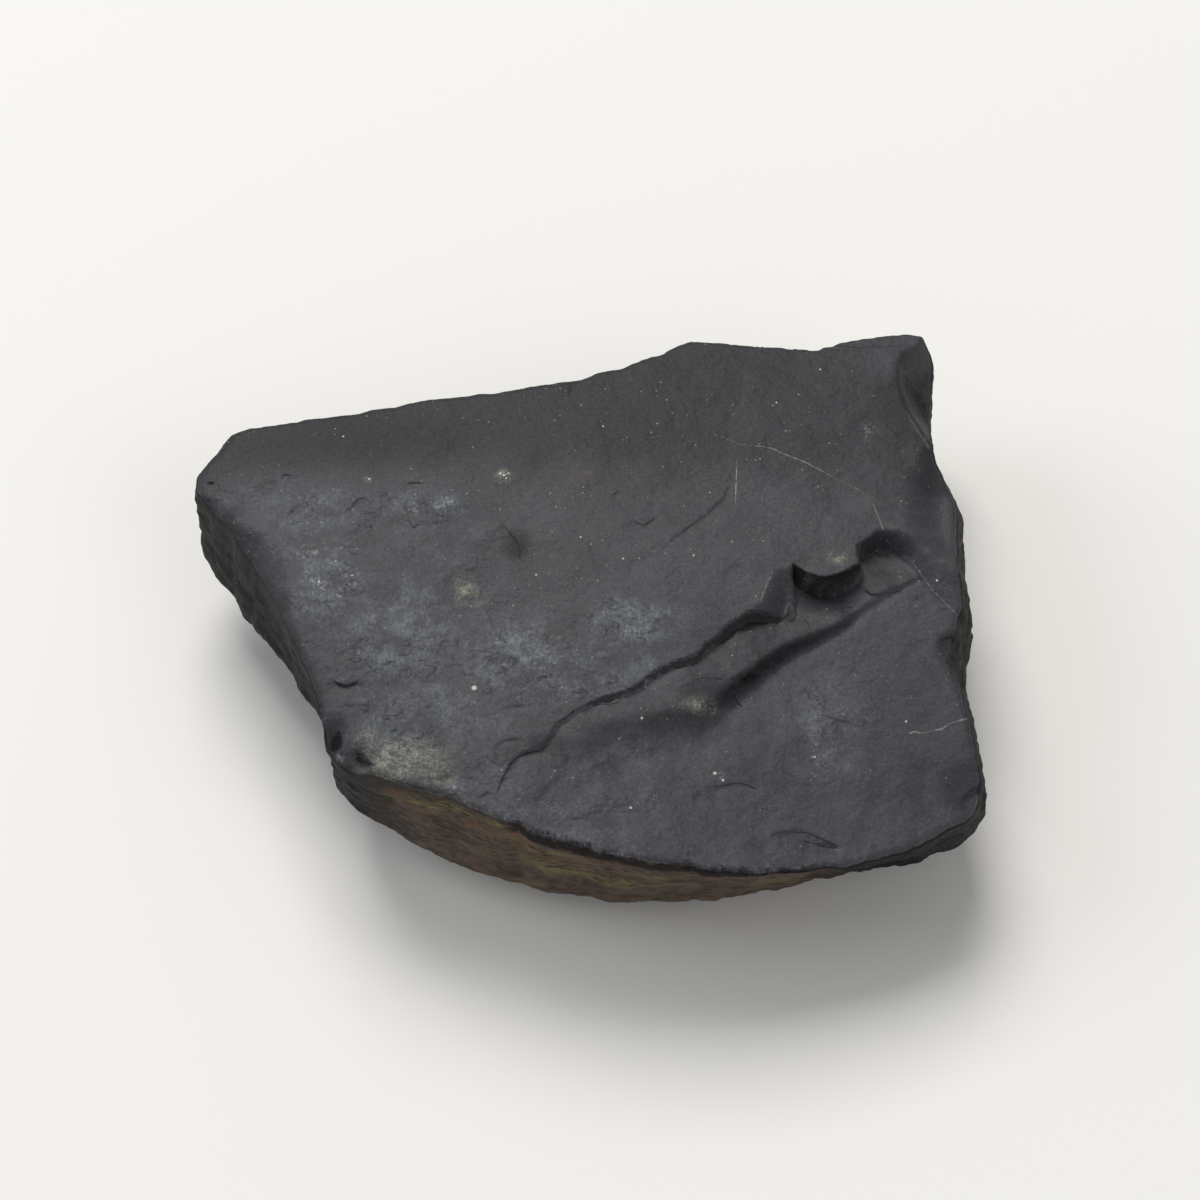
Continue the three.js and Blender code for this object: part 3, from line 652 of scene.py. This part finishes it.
# Patches: x, y, radius along x and y, strength.
BLOOM = [
    (-11.6, 3.4, 2.6, 1.8, 0.6), (-10.8, -0.4, 1.8, 2.6, 0.78), (-7.9, 3.2, 2.4, 1.7, 0.6),
    (-5.6, 3.6, 1.3, 1, 0.8), (-7.8, -2.6, 3.2, 3.6, 0.75), (-7.2, -6.6, 3.6, 3, 0.7),
    (-2.5, -4, 3, 2.4, 0.85), (2.3, -2.2, 2.6, 1.5, 0.85), (0.8, -4.6, 3.4, 1.8, 0.7),
    (10.2, -6.6, 1.7, 2.2, 0.6), (12.4, 7.4, 1.4, 1.6, 0.3),
]
PLATE_BLOOM = (10.2, -6.6, 2.4, 3, 1)  # thin, all the way across the line
# Fine white mottling.
WHITE = [
    (-11.4, 0.4, 1.3, 1.9, 0.8), (-10, -0.4, 0.8, 1.2, 0.7), (-12.2, 3.9, 1.6, 0.9, 0.4),
    (-5.6, 3.6, 0.55, 0.7, 1), (-6.6, 3.4, 1.4, 1.1, 0.45), (-7.3, -8.3, 1.6, 0.8, 0.6),
    (-5.4, -9.9, 0.6, 0.6, 0.8), (-10.15, -8.3, 0.3, 0.3, 2.5), (-3, -3.6, 2.2, 1.6, 0.3),
    (1.6, -2.4, 1.6, 0.9, 0.35), (12.65, 7.6, 0.6, 0.6, 0.5),
]
CRUST_AND_LIT_LIP = [
    (-7.4, -8.6, 2.2, 1.05, 1), (-5.9, -9.4, 0.9, 0.6, 0.7), (-8.8, -7.7, 0.9, 0.5, 0.5),
    (-3.3, 5.1, 0.42, 0.4, 1.3), (-4.9, -0.6, 0.55, 0.75, 0.9), (-4.45, -0.95, 0.6, 0.5, 0.6),
    (5, -6, 0.9, 0.42, 1), (5.66, -9.05, 0.28, 0.22, 1), (-9.1, 5.05, 0.25, 0.2, 0.8),
    # a painted highlight on the lit lip above the notch
    (10.9, 0.95, 0.6, 0.35, 0.6),
]
RUST = [
    (8.9, -1.6, 0.2, 0.14, 1), (0.4, 5.15, 0.5, 0.25, 0.25), (-12.4, -2, 0.4, 1.2, 0.15),
]
# Soft painted shade in hollows and troughs and on faces turned from the light.
SOFT_SHADE = [
    (-2.7, 1.5, 0.7, 1, 0.5), (3.6, -6.7, 1.6, 0.6, 0.28), (5, -5.3, 1.4, 0.8, 0.22),
    (-15.1, 3.5, 0.9, 0.6, 0.4), (-1.4, -7.9, 1, 0.6, 0.4),
    (15.1, 9.3, 1, 3.2, 0.35),  # the facet beside the knob
    (14, 8.9, 1.5, 2.6, 0.25), (-9.5, 7.2, 5.5, 1.8, 0.15), (14, -6, 3, 5, 0.12),
    (13, 1.7, 1.2, 0.7, 0.3), (12.8, 0.5, 1.4, 0.7, 0.25), (-11, -7.6, 1.2, 1.6, 0.4),
]
# Patches of the front side: x, depth below the rim, radius along x and down, strength.
OLIVE_SIDE = [
    (-8, 1.5, 0.9, 0.6, 0.5), (-6.5, 0.9, 0.9, 0.45, 1), (-5.2, 0.5, 1, 0.3, 1.5),
    (-3.6, 0.4, 0.9, 0.25, 1.4), (-1.5, 1.3, 2, 0.5, 0.6), (3.6, 1.6, 2.4, 0.4, 0.5),
    (8.2, 2, 2, 0.5, 0.4), (0.5, 2.8, 4.5, 0.6, 0.6),
]
# Rusty places on the front side, in the same way.
RUST_SIDE = [
    (-2.6, 0.8, 0.6, 0.3, 1), (-4.6, 1.3, 0.7, 0.3, 0.8), (-6.9, 1.6, 0.9, 0.5, 0.6),
    (-7.9, 0.9, 0.6, 0.4, 0.9), (-0.6, 0.6, 0.6, 0.25, 0.9), (0.9, 0.6, 1.1, 0.2, 0.7),
    (-1.2, 1.8, 2.5, 0.5, 0.35), (5.5, 0.9, 1.8, 0.3, 0.3),
]


def patches(table, x, y):
    total = np.zeros(x.shape)
    for cx, cy, rx, ry, strength in table:
        r = np.hypot((x - cx) / rx, (y - cy) / ry)
        total = np.maximum(total, strength * smooth(1.25 - r))
    return total


def shaded_places(x, y):
    """Above zero where shade is painted in the hollows and on shaded facets of the top, below zero
    outside them.
    """
    painted_shade = np.full(x.shape, -1.0)
    for corners, softness, strength in SHADED_PLACES:
        inside = np.clip(inside_by(corners, x, y) / softness, -1, 1)
        painted_shade = np.maximum(painted_shade, inside + strength - 1)
    return painted_shade


def make_masks(points, drop, on_top):
    """What each point of the surface is covered with, and where shade and a highlight are painted on
    it.
    """
    x, y = points.T[:2]
    step_past, ledge_past, past_step, past_ledge = steps_at(x, y)
    grows = smooth(along_step(x, y) / 6)
    wander = 0.5 * fractal(x, y, 20.0, 1.8)
    in_front = nearest(BLOOM_EDGE, x, y)[2] + wander
    bloomed = smooth(in_front / 1.2 + 0.5) * smooth((9 - x) / 9)
    bloom = np.maximum(0.25 * bloomed, patches(BLOOM, x, y) * smooth(in_front / 0.9 + 0.6))
    bloom = np.maximum(bloom, 0.4 * patches([PLATE_BLOOM], x, y))
    # The bloom is thinned on the ledge's floor below the step, partly its own plainer colour and
    # partly painted shade at the step's foot.
    ledge = grows * (past_step - past_ledge)
    ledge_shade = np.interp(x, *zip(*LEDGE_SHADE)) * np.exp(-(((ledge_past + 0.08) / 0.24) ** 2))
    back = smooth((y + wander - 3.6) / 3.5) * (1 - 0.3 * smooth((x - 3) / 5))
    back = back * (1 - 0.8 * smooth((x - 11.5) / 2) * smooth((y - 9.8) / 1.5))
    at_front = smooth(-(y + 4.5) / 3) * smooth((11.5 - x) / 3)
    front = at_front * smooth((x + 9.8) / 3.5)
    # Painted shade on the top along its left rim.
    left = 0.6 * smooth(-(x + 9) / 3) * smooth((5.5 - y) / 2)
    dust = 0.6 * front * np.exp(-np.abs(drop) / 0.3)  # on the front edge of the top
    half = np.interp(x, *zip(*SHADED_CRACK_WIDTHS)) * (1 + 0.9 * fractal(x, y, 30.0, 0.6)) + 0.03
    scars = [tapered(line, half) for line, _, _, half in SCARS]
    scar_shade_past, scar_shade_width, number = thin_marks(scars, x, y)
    scar_strength = np.clip([6 * half + 0.3 for _, _, _, half in SCARS], 0, 0.8)[number]
    pale_past, pale_width, number = thin_marks([line for line, _ in PALE_MARKS], x, y)
    pale_strength = np.array([strength for _, strength in PALE_MARKS])[number]
    beside = 1 - on_top
    return {
        "bloom": bloom * (1 - 0.8 * ledge) * on_top,
        "white": np.maximum(patches(WHITE, x, y), dust) * on_top,
        "crust_and_lit_lip": patches(CRUST_AND_LIT_LIP, x, y) * on_top + patches(OLIVE_SIDE, x, drop) * beside * front,
        "rust": patches(RUST, x, y) * on_top + patches(RUST_SIDE, x, drop) * beside * front,
        # The soft shade, the ledge band and the shaded hollows below are painted shade.
        "soft_shade": np.maximum(patches(SOFT_SHADE, x, y), left * np.exp(drop / 0.5)) * on_top,
        "ledge_shade": ledge_shade * on_top,
        "back": back * on_top,
        "painted_shade": np.where(on_top, shaded_places(x, y), -1),
        "plate": grows * past_ledge * on_top,
        "side": beside,
        "front": front,
        "drop": drop,
        "rim": at_front * (0.4 + 0.6 * smooth(x + 3.5)),
        # The crack and scar marks are black painted over shaded faces.
        "shaded_crack_past": step_past + 0.08 - half,
        "shaded_crack_width": np.where(on_top, half, NO_MARK),
        "scar_shade_past": scar_shade_past,
        "scar_shade_width": np.where(on_top, scar_shade_width, NO_MARK),
        "scar_shade": scar_strength,
        "pale_past": pale_past,
        "pale_width": np.where(on_top, pale_width, NO_MARK),
        "pale": pale_strength * on_top,
    }


def link(name, data):
    thing = bpy.data.objects.new(name, data)
    bpy.context.scene.collection.objects.link(thing)
    return thing


def make_stone():
    points, counts, drops = make_points()
    starts = np.concatenate([[0], np.cumsum(counts)])
    faces = []
    for n in range(len(counts) - 1):
        inner = points[starts[n] : starts[n + 1]]
        outer = points[starts[n + 1] : starts[n + 2]]
        freedom = 1.2 if n < TOP_ROWS - 1 else 0
        join_rings(faces, inner, int(starts[n]), outer, int(starts[n + 1]), freedom)
    on_top = (np.arange(len(points)) < starts[TOP_ROWS]).astype(float)
    masks = make_masks(points, drops, on_top)
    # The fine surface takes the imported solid's box exactly.
    low, high = (np.array(corner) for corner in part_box("rock"))
    span = points.max(axis=0) - points.min(axis=0)
    placed = (points - points.min(axis=0)) / span * (high - low) + low
    mesh = bpy.data.meshes.new("stone_surface")
    mesh.from_pydata(placed.tolist(), [], faces)
    mesh.shade_smooth()
    for name, values in masks.items():
        attribute = mesh.attributes.new(name, "FLOAT", "POINT")
        attribute.data.foreach_set("value", values.astype(np.float32))
    return link("stone_surface", mesh)


# ---- The material ----


class Nodes:
    """Adds nodes to one node tree, each with its inputs set or linked. The place is the stone's own
    in millimetres, the same as in the tables above."""

    def __init__(self, tree):
        self.tree = tree
        metres = self.add("ShaderNodeTexCoord", output="Object")
        inputs = {0: metres, 1: (1 / MM,) * 3, 2: (*MIDDLE, 0)}
        self.place = self.add("ShaderNodeVectorMath", inputs, operation="MULTIPLY_ADD")

    def add(self, kind, inputs=None, output=0, **settings):
        node = self.tree.nodes.new(kind)
        for name, value in settings.items():
            setattr(node, name, value)
        for key, value in (inputs or {}).items():
            if isinstance(value, bpy.types.NodeSocket):
                self.tree.links.new(value, node.inputs[key])
            else:
                node.inputs[key].default_value = value
        return node.outputs[output] if node.outputs else None

    def math(self, operation, *values, clamp=False):
        inputs = dict(enumerate(values))
        return self.add("ShaderNodeMath", inputs, operation=operation, use_clamp=clamp)

    def times(self, first, *others):
        for other in others:
            first = self.math("MULTIPLY", first, other)
        return first

    def plus(self, value, times, added, clamp=False):
        return self.math("MULTIPLY_ADD", value, times, added, clamp=clamp)

    def most(self, first, *others):
        for other in others:
            first = self.math("MAXIMUM", first, other)
        return first

    def mask(self, name):
        return self.add("ShaderNodeAttribute", attribute_name=name, output="Fac")

    def stretched(self, scale):
        inputs = {0: self.place, 1: scale}
        return self.add("ShaderNodeVectorMath", inputs, operation="MULTIPLY")

    def noise(self, scale, detail=3, roughness=0.55, stretch=None):
        """Noise at the place, which may be scaled apart along each axis to give a direction."""
        place = self.stretched(stretch) if stretch else self.place
        inputs = {"Vector": place, "Scale": scale, "Detail": detail, "Roughness": roughness}
        return self.add("ShaderNodeTexNoise", inputs)

    def levels(self, value, low, high, to_low=0, to_high=1):
        inputs = {"Value": value, 1: low, 2: high, 3: to_low, 4: to_high}
        return self.add("ShaderNodeMapRange", inputs, interpolation_type="SMOOTHSTEP")

    def blend(self, share, below, above, kind="MIX"):
        """One colour over another, by a share from 0 to 1."""
        below, above = ((*c, 1) if isinstance(c, tuple) else c for c in (below, above))
        inputs = {0: share, 6: below, 7: above}
        return self.add("ShaderNodeMix", inputs, 2, data_type="RGBA", blend_type=kind)

    def paint(self, colour, *coats):
        """Coats over a colour, one after another: the share of each from 0 to 1, and its colour."""
        for share, coat in coats:
            colour = self.blend(share, colour, coat)
        return colour

    def mark(self, kind, wander, wobble, softness):
        """A thin mark from the distance past its middle and its half width, with a ragged edge."""
        away = self.math("ABSOLUTE", self.mask(kind + "_past"))
        uneven = self.math("MULTIPLY", self.math("SUBTRACT", wander, 0.5), wobble)
        within = self.math("SUBTRACT", self.mask(kind + "_width"), away)
        return self.levels(self.math("ADD", within, uneven), 0, softness)


def specks(nodes, per_mm, size, share):
    """Round specks of one size in millimetres, some fainter than others, in some share of the cells
    of a jittered grid."""
    distance = nodes.add("ShaderNodeTexVoronoi", {"Vector": nodes.place, "Scale": per_mm})
    random = nodes.add("ShaderNodeSeparateColor", {0: distance.node.outputs["Color"]}).node.outputs
    radius = size * per_mm
    dot = nodes.levels(distance, radius, 0.4 * radius)
    chosen = nodes.math("LESS_THAN", random[0], share)
    return nodes.times(dot, chosen, nodes.levels(random[1], 0.2, 1, 0.3, 1))


def dots(nodes, places):
    """Single round specks: x, y and radius of each."""
    flat = nodes.stretched((1, 1, 0))
    total = 0.0
    for x, y, radius in places:
        inputs = {0: flat, 1: (x, y, 0)}
        away = nodes.add("ShaderNodeVectorMath", inputs, operation="DISTANCE", output="Value")
        total = nodes.most(nodes.levels(away, radius, 0.5 * radius), total)
    return total


# Single white specks of the top: x, y, radius.
WHITE_SPECKS = [
    (-4.47, -5.35, 0.14), (-10.3, 7.3, 0.06), (-9.1, 5, 0.06), (-3.3, 5.1, 0.07), (0, 1.9, 0.05),
    (1.8, 0.8, 0.05), (4.8, 1, 0.05), (2.5, -6.7, 0.07), (2, -10.7, 0.07), (9.7, -7.9, 0.06),
    (13.6, -6.2, 0.06), (15.2, 0.3, 0.06), (8.6, 9, 0.05), (10.6, 10.9, 0.05), (1, 7.6, 0.05),
    (-1.9, 0.1, 0.05), (-11.1, -0.17, 0.06), (-9.7, 0.1, 0.05), (5.5, -8.9, 0.09),
    (5.83, -9.2, 0.07), (-3.45, 5.2, 0.07), (-3.2, 4.95, 0.05), (-3.1, 5.2, 0.05),
]

CHARCOAL_DARK = (0.0245, 0.0245, 0.0285)
CHARCOAL = (0.034, 0.0338, 0.0395)
BACK_GREY = (0.0165, 0.0165, 0.019)
PLATE_GREY = (0.0305, 0.03, 0.0365)
BLUE_BLOOM = (0.111, 0.126, 0.144)
WHITE_BLOOM = (0.25, 0.265, 0.265)
# the crust's colour, also used for the painted highlight on the notch's lip
YELLOW_CRUST_AND_LIT_LIP = (0.28, 0.275, 0.2)
ORANGE_RUST = (0.12, 0.07, 0.03)
SIDE_BLACK = (0.009, 0.008, 0.008)
SIDE_GREY = (0.019, 0.018, 0.018)
SIDE_BROWN = (0.118, 0.08, 0.058)
SIDE_UMBER = (0.06, 0.046, 0.038)
SIDE_OLIVE = (0.215, 0.192, 0.075)
SIDE_RUST = (0.18, 0.075, 0.04)
PALE_SPECK = (0.42, 0.42, 0.38)
BLACK = (0.009, 0.009, 0.01)


def face_colour(nodes, fine, uneven):
    """The cleavage face, charcoal with a blue-grey bloom and a pale crust on it, with a highlight on
    the notch's lip painted in the crust's colour, and how much of the bloom shows."""
    bloom = nodes.mask("bloom")
    broad = nodes.noise(0.28, 4)
    patchy = nodes.times(nodes.levels(nodes.noise(0.9, 8, 0.7), 0.42, 0.6),
                         nodes.levels(broad, 0.35, 0.6, 0.55, 1.1))
    dusty = nodes.levels(nodes.noise(5, 4, 0.7, (1.5, 0.8, 1)), 0.36, 0.64, 0.25, 1.15)
    bloom_share = nodes.times(bloom, patchy, dusty)
    frosty = nodes.times(nodes.levels(nodes.noise(1.1, 4, 0.6), 0.4, 0.62),
                         nodes.levels(nodes.noise(5, 6, 0.8), 0.48, 0.66))
    crusty = nodes.levels(nodes.noise(2.2, 8, 0.82), 0.38, 0.66)
    speckled = nodes.levels(fine, 0.36, 0.64, 0.35, 1)
    colour = nodes.paint(
        CHARCOAL_DARK,
        (nodes.levels(broad, 0.35, 0.65), CHARCOAL),
        (nodes.mask("back"), BACK_GREY),
        (nodes.mask("plate"), PLATE_GREY),
        (bloom_share, BLUE_BLOOM),
        (nodes.times(frosty, nodes.plus(bloom, 0.3, nodes.mask("white"))), WHITE_BLOOM),
        (nodes.times(nodes.mask("crust_and_lit_lip"), crusty, speckled, 0.85), YELLOW_CRUST_AND_LIT_LIP),
    )
    return nodes.blend(1, colour, uneven, "MULTIPLY"), bloom_share


def side_colour(nodes, layers, flecks):
    """The sides: near-black and layered, brown with olive and rusty streaks at the front."""
    front = nodes.times(nodes.mask("front"), nodes.mask("side"))
    patched = nodes.levels(nodes.noise(1.1, 6, 0.7), 0.42, 0.6)
    veined = nodes.times(front, nodes.levels(layers, 0.54, 0.68), 0.45)
    streaky = nodes.levels(flecks, 0.4, 0.58)
    return nodes.paint(
        SIDE_BLACK,
        (nodes.levels(layers, 0.42, 0.6), SIDE_GREY),
        (nodes.times(front, nodes.levels(flecks, 0.34, 0.54, 0.25, 1)),
         nodes.blend(patched, SIDE_BROWN, SIDE_UMBER)),
        (nodes.times(nodes.most(veined, nodes.mask("crust_and_lit_lip")), streaky), SIDE_OLIVE),
        (nodes.times(nodes.mask("rust"), streaky), SIDE_RUST),
    )


def pale_spots(nodes, fine):
    """Sparse pale specks, clumped and of varied strength, and the single ones."""
    crowded = nodes.levels(nodes.noise(0.35, 4), 0.4, 0.62, 0.2, 1)
    clumped = nodes.times(crowded, nodes.levels(nodes.noise(0.9, 3), 0.5, 0.66, 0.12, 1))
    spots = nodes.most(specks(nodes, 1.1, 0.06, nodes.times(crowded, 0.15)),
                       specks(nodes, 2.3, 0.05, nodes.times(clumped, 0.4)),
                       specks(nodes, 4.5, 0.05, nodes.times(clumped, 0.8)))
    spots = nodes.times(spots, nodes.levels(fine, 0.35, 0.6, 0.2, 0.7),
                        nodes.levels(nodes.mask("side"), 0, 1, 1, 0.4),
                        nodes.levels(nodes.mask("plate"), 0, 1, 1, 0.5))
    return nodes.most(spots, dots(nodes, WHITE_SPECKS))


def black_places(nodes):
    """Painted shade in black: shaded hollows, the crack over the step's shaded face, the shaded edges
    of scars, the band at the ledge's edge, and the crumbled front edge.
    """
    crumble = nodes.noise(4.5, 6, 0.75)
    loose = nodes.math("SUBTRACT", crumble, 0.5)
    blotchy = nodes.math("SUBTRACT", nodes.noise(1.3, 6, 0.75), 0.5)
    near_rim = nodes.plus(blotchy, 1.6, nodes.mask("drop"))
    return nodes.most(
        nodes.levels(nodes.plus(loose, 1.2, nodes.mask("painted_shade")), -0.1, 0.6),
        nodes.times(nodes.mark("shaded_crack", crumble, 0.38, 0.1), 0.68),
        nodes.times(nodes.mark("scar_shade", crumble, 0.1, 0.05), nodes.mask("scar_shade")),
        nodes.times(nodes.mask("ledge_shade"), nodes.levels(crumble, 0.25, 0.6, 1.15, 0.6)),
        nodes.times(nodes.levels(near_rim, -0.2, 0.02), nodes.levels(near_rim, 0.9, 0.45),
                    nodes.mask("rim"), 0.85),
    )


def fine_relief(nodes, layers, flecks, black):
    """Relief in millimetres, finer than the mesh."""
    side = nodes.mask("side")
    relief = nodes.times(nodes.noise(2.5, 8, 0.6), 0.04)
    relief = nodes.plus(nodes.noise(0.8, 3, 0.5), 0.05, relief)
    relief = nodes.plus(nodes.times(layers, side), 0.1, relief)
    relief = nodes.plus(nodes.times(flecks, side), 0.08, relief)
    relief = nodes.plus(black, -0.04, relief)
    # Thin flakes have come off along these low edges.
    flakes = nodes.noise(0.4, 4, 0.55, (0.8, 1.2, 1))
    broken = nodes.times(nodes.levels(nodes.noise(0.6, 3), 0.5, 0.6),
                         nodes.levels(nodes.mask("bloom"), 0, 0.6, 0.2, 1))
    for level in (0.43, 0.55):
        edge = nodes.times(nodes.levels(flakes, level, level + 0.015), broken)
        relief = nodes.plus(edge, 0.03, relief)
    return relief


def make_shungite():
    material = bpy.data.materials.new("shungite")
    material.use_nodes = True
    material.node_tree.nodes.clear()
    nodes = Nodes(material.node_tree)
    soft_shade, side = nodes.mask("soft_shade"), nodes.mask("side")
    mottle = nodes.noise(1.3, 7, 0.7)
    fine = nodes.noise(8, 4, 0.75)
    layers = nodes.noise(1.2, 7, 0.68, (0.4, 0.4, 3.2))
    flecks = nodes.noise(2.6, 7, 0.75, (0.6, 0.6, 3))
    uneven = nodes.times(nodes.levels(fine, 0.3, 0.7, 0.83, 1.17),
                         nodes.levels(mottle, 0.3, 0.7, 0.87, 1.13))
    face, bloom_share = face_colour(nodes, fine, uneven)
    black = black_places(nodes)
    on_top = nodes.math("SUBTRACT", 1, side)
    thin = nodes.levels(nodes.noise(4, 4, 0.7), 0.35, 0.6, 0.15, 1)
    colour = nodes.paint(
        face,
        (side, side_colour(nodes, layers, flecks)),
        (nodes.times(nodes.mask("rust"), nodes.levels(flecks, 0.44, 0.58), on_top), ORANGE_RUST),
        (nodes.times(nodes.mark("pale", fine, 0.06, 0.03), nodes.mask("pale"), thin), PALE_SPECK),
        (pale_spots(nodes, fine), PALE_SPECK),
        # Painted shade goes on last: soft shade, then black in the shaded places.
        (soft_shade, BLACK),
        (black, BLACK),
    )
    # Satin on the cleavage face, duller on the bloom and the sides, with little shine where shade is
    # painted.
    gloss = nodes.levels(mottle, 0.3, 0.7, 0.5, 0.6)
    gloss = nodes.plus(side, 0.12, nodes.plus(bloom_share, 0.15, gloss), clamp=True)
    lit = nodes.plus(nodes.most(soft_shade, black), -0.85, 1)
    shine = nodes.times(lit, uneven, nodes.levels(nodes.mask("back"), 0, 1, 0.3, 0.24),
                        nodes.levels(side, 0, 1, 1, 0.7))
    relief = fine_relief(nodes, layers, flecks, black)
    bump = nodes.add("ShaderNodeBump", {"Strength": 1, "Distance": MM, "Height": relief})
    surface = nodes.add(
        "ShaderNodeBsdfPrincipled",
        {"Base Color": colour, "Roughness": gloss, "Specular IOR Level": shine, "Normal": bump},
    )
    nodes.add("ShaderNodeOutputMaterial", {"Surface": surface})
    return material


# ---- Floor, lights and camera ----

FLOOR_SIZE = 4000
FLOOR_COLOUR = (0.72, 0.71, 0.68)
WORLD_COLOUR = (0.93, 0.95, 1.0)
WORLD_STRENGTH = 0.38

# Soft lamps: place, size across, power in watts, colour.
LAMPS = [
    ((-120, 420, 640), 420, 5.2, (1.0, 0.98, 0.95)),  # key, above and behind
    ((-420, 60, 300), 300, 0.7, (0.92, 0.96, 1.0)),  # left
    ((300, -260, 420), 300, 0.5, (1.0, 0.97, 0.93)),  # front right
]

CAMERA_PLACE = (-0.29, -81.64, 137.18)
CAMERA_DOWN = math.radians(57.86)
CAMERA_RIGHT = math.radians(0.67)
CAMERA_ROLL = math.radians(0.29)
CAMERA_LENS = 107.46
SENSOR_WIDTH = 36


def make_floor():
    half = FLOOR_SIZE * MM / 2
    corners = [(-half, -half, 0), (half, -half, 0), (half, half, 0), (-half, half, 0)]
    mesh = bpy.data.meshes.new("floor")
    mesh.from_pydata(corners, [], [(0, 1, 2, 3)])
    material = bpy.data.materials.new("pale_floor")
    material.use_nodes = True
    surface = material.node_tree.nodes["Principled BSDF"]
    surface.inputs["Base Color"].default_value = (*FLOOR_COLOUR, 1.0)
    surface.inputs["Roughness"].default_value = 0.85
    mesh.materials.append(material)
    link("floor", mesh)


def make_lights():
    for n, (place, size, power, colour) in enumerate(LAMPS):
        data = bpy.data.lights.new(f"lamp_{n}", "AREA")
        data.size = size * MM
        data.energy = power
        data.color = colour
        lamp = link(f"lamp_{n}", data)
        lamp.location = Vector(place) * MM
        lamp.rotation_euler = lamp.location.to_track_quat("Z", "Y").to_euler()
    world = bpy.data.worlds.new("studio")
    world.use_nodes = True
    background = world.node_tree.nodes["Background"]
    background.inputs["Color"].default_value = (*WORLD_COLOUR, 1.0)
    background.inputs["Strength"].default_value = WORLD_STRENGTH
    bpy.context.scene.world = world


def make_camera():
    down, right, roll = CAMERA_DOWN, CAMERA_RIGHT, CAMERA_ROLL
    ahead = Vector((math.sin(right) * math.cos(down), math.cos(right) * math.cos(down),
                    -math.sin(down)))
    level = Vector((math.cos(right), -math.sin(right), 0))
    upright = level.cross(ahead)
    x_axis = level * math.cos(roll) + upright * math.sin(roll)
    y_axis = upright * math.cos(roll) - level * math.sin(roll)
    data = bpy.data.cameras.new("camera")
    data.sensor_width = SENSOR_WIDTH
    data.lens = CAMERA_LENS
    data.clip_start = 0.005
    camera = link("camera", data)
    turned = Matrix((x_axis, y_axis, -ahead)).transposed().to_4x4()
    camera.matrix_world = Matrix.Translation(Vector(CAMERA_PLACE) * MM) @ turned
    bpy.context.scene.camera = camera


bpy.context.scene.view_settings.view_transform = "Standard"
stone = make_stone()
stone.data.materials.append(make_shungite())
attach(stone, "root")
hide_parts("rock")
make_floor()
make_lights()
make_camera()
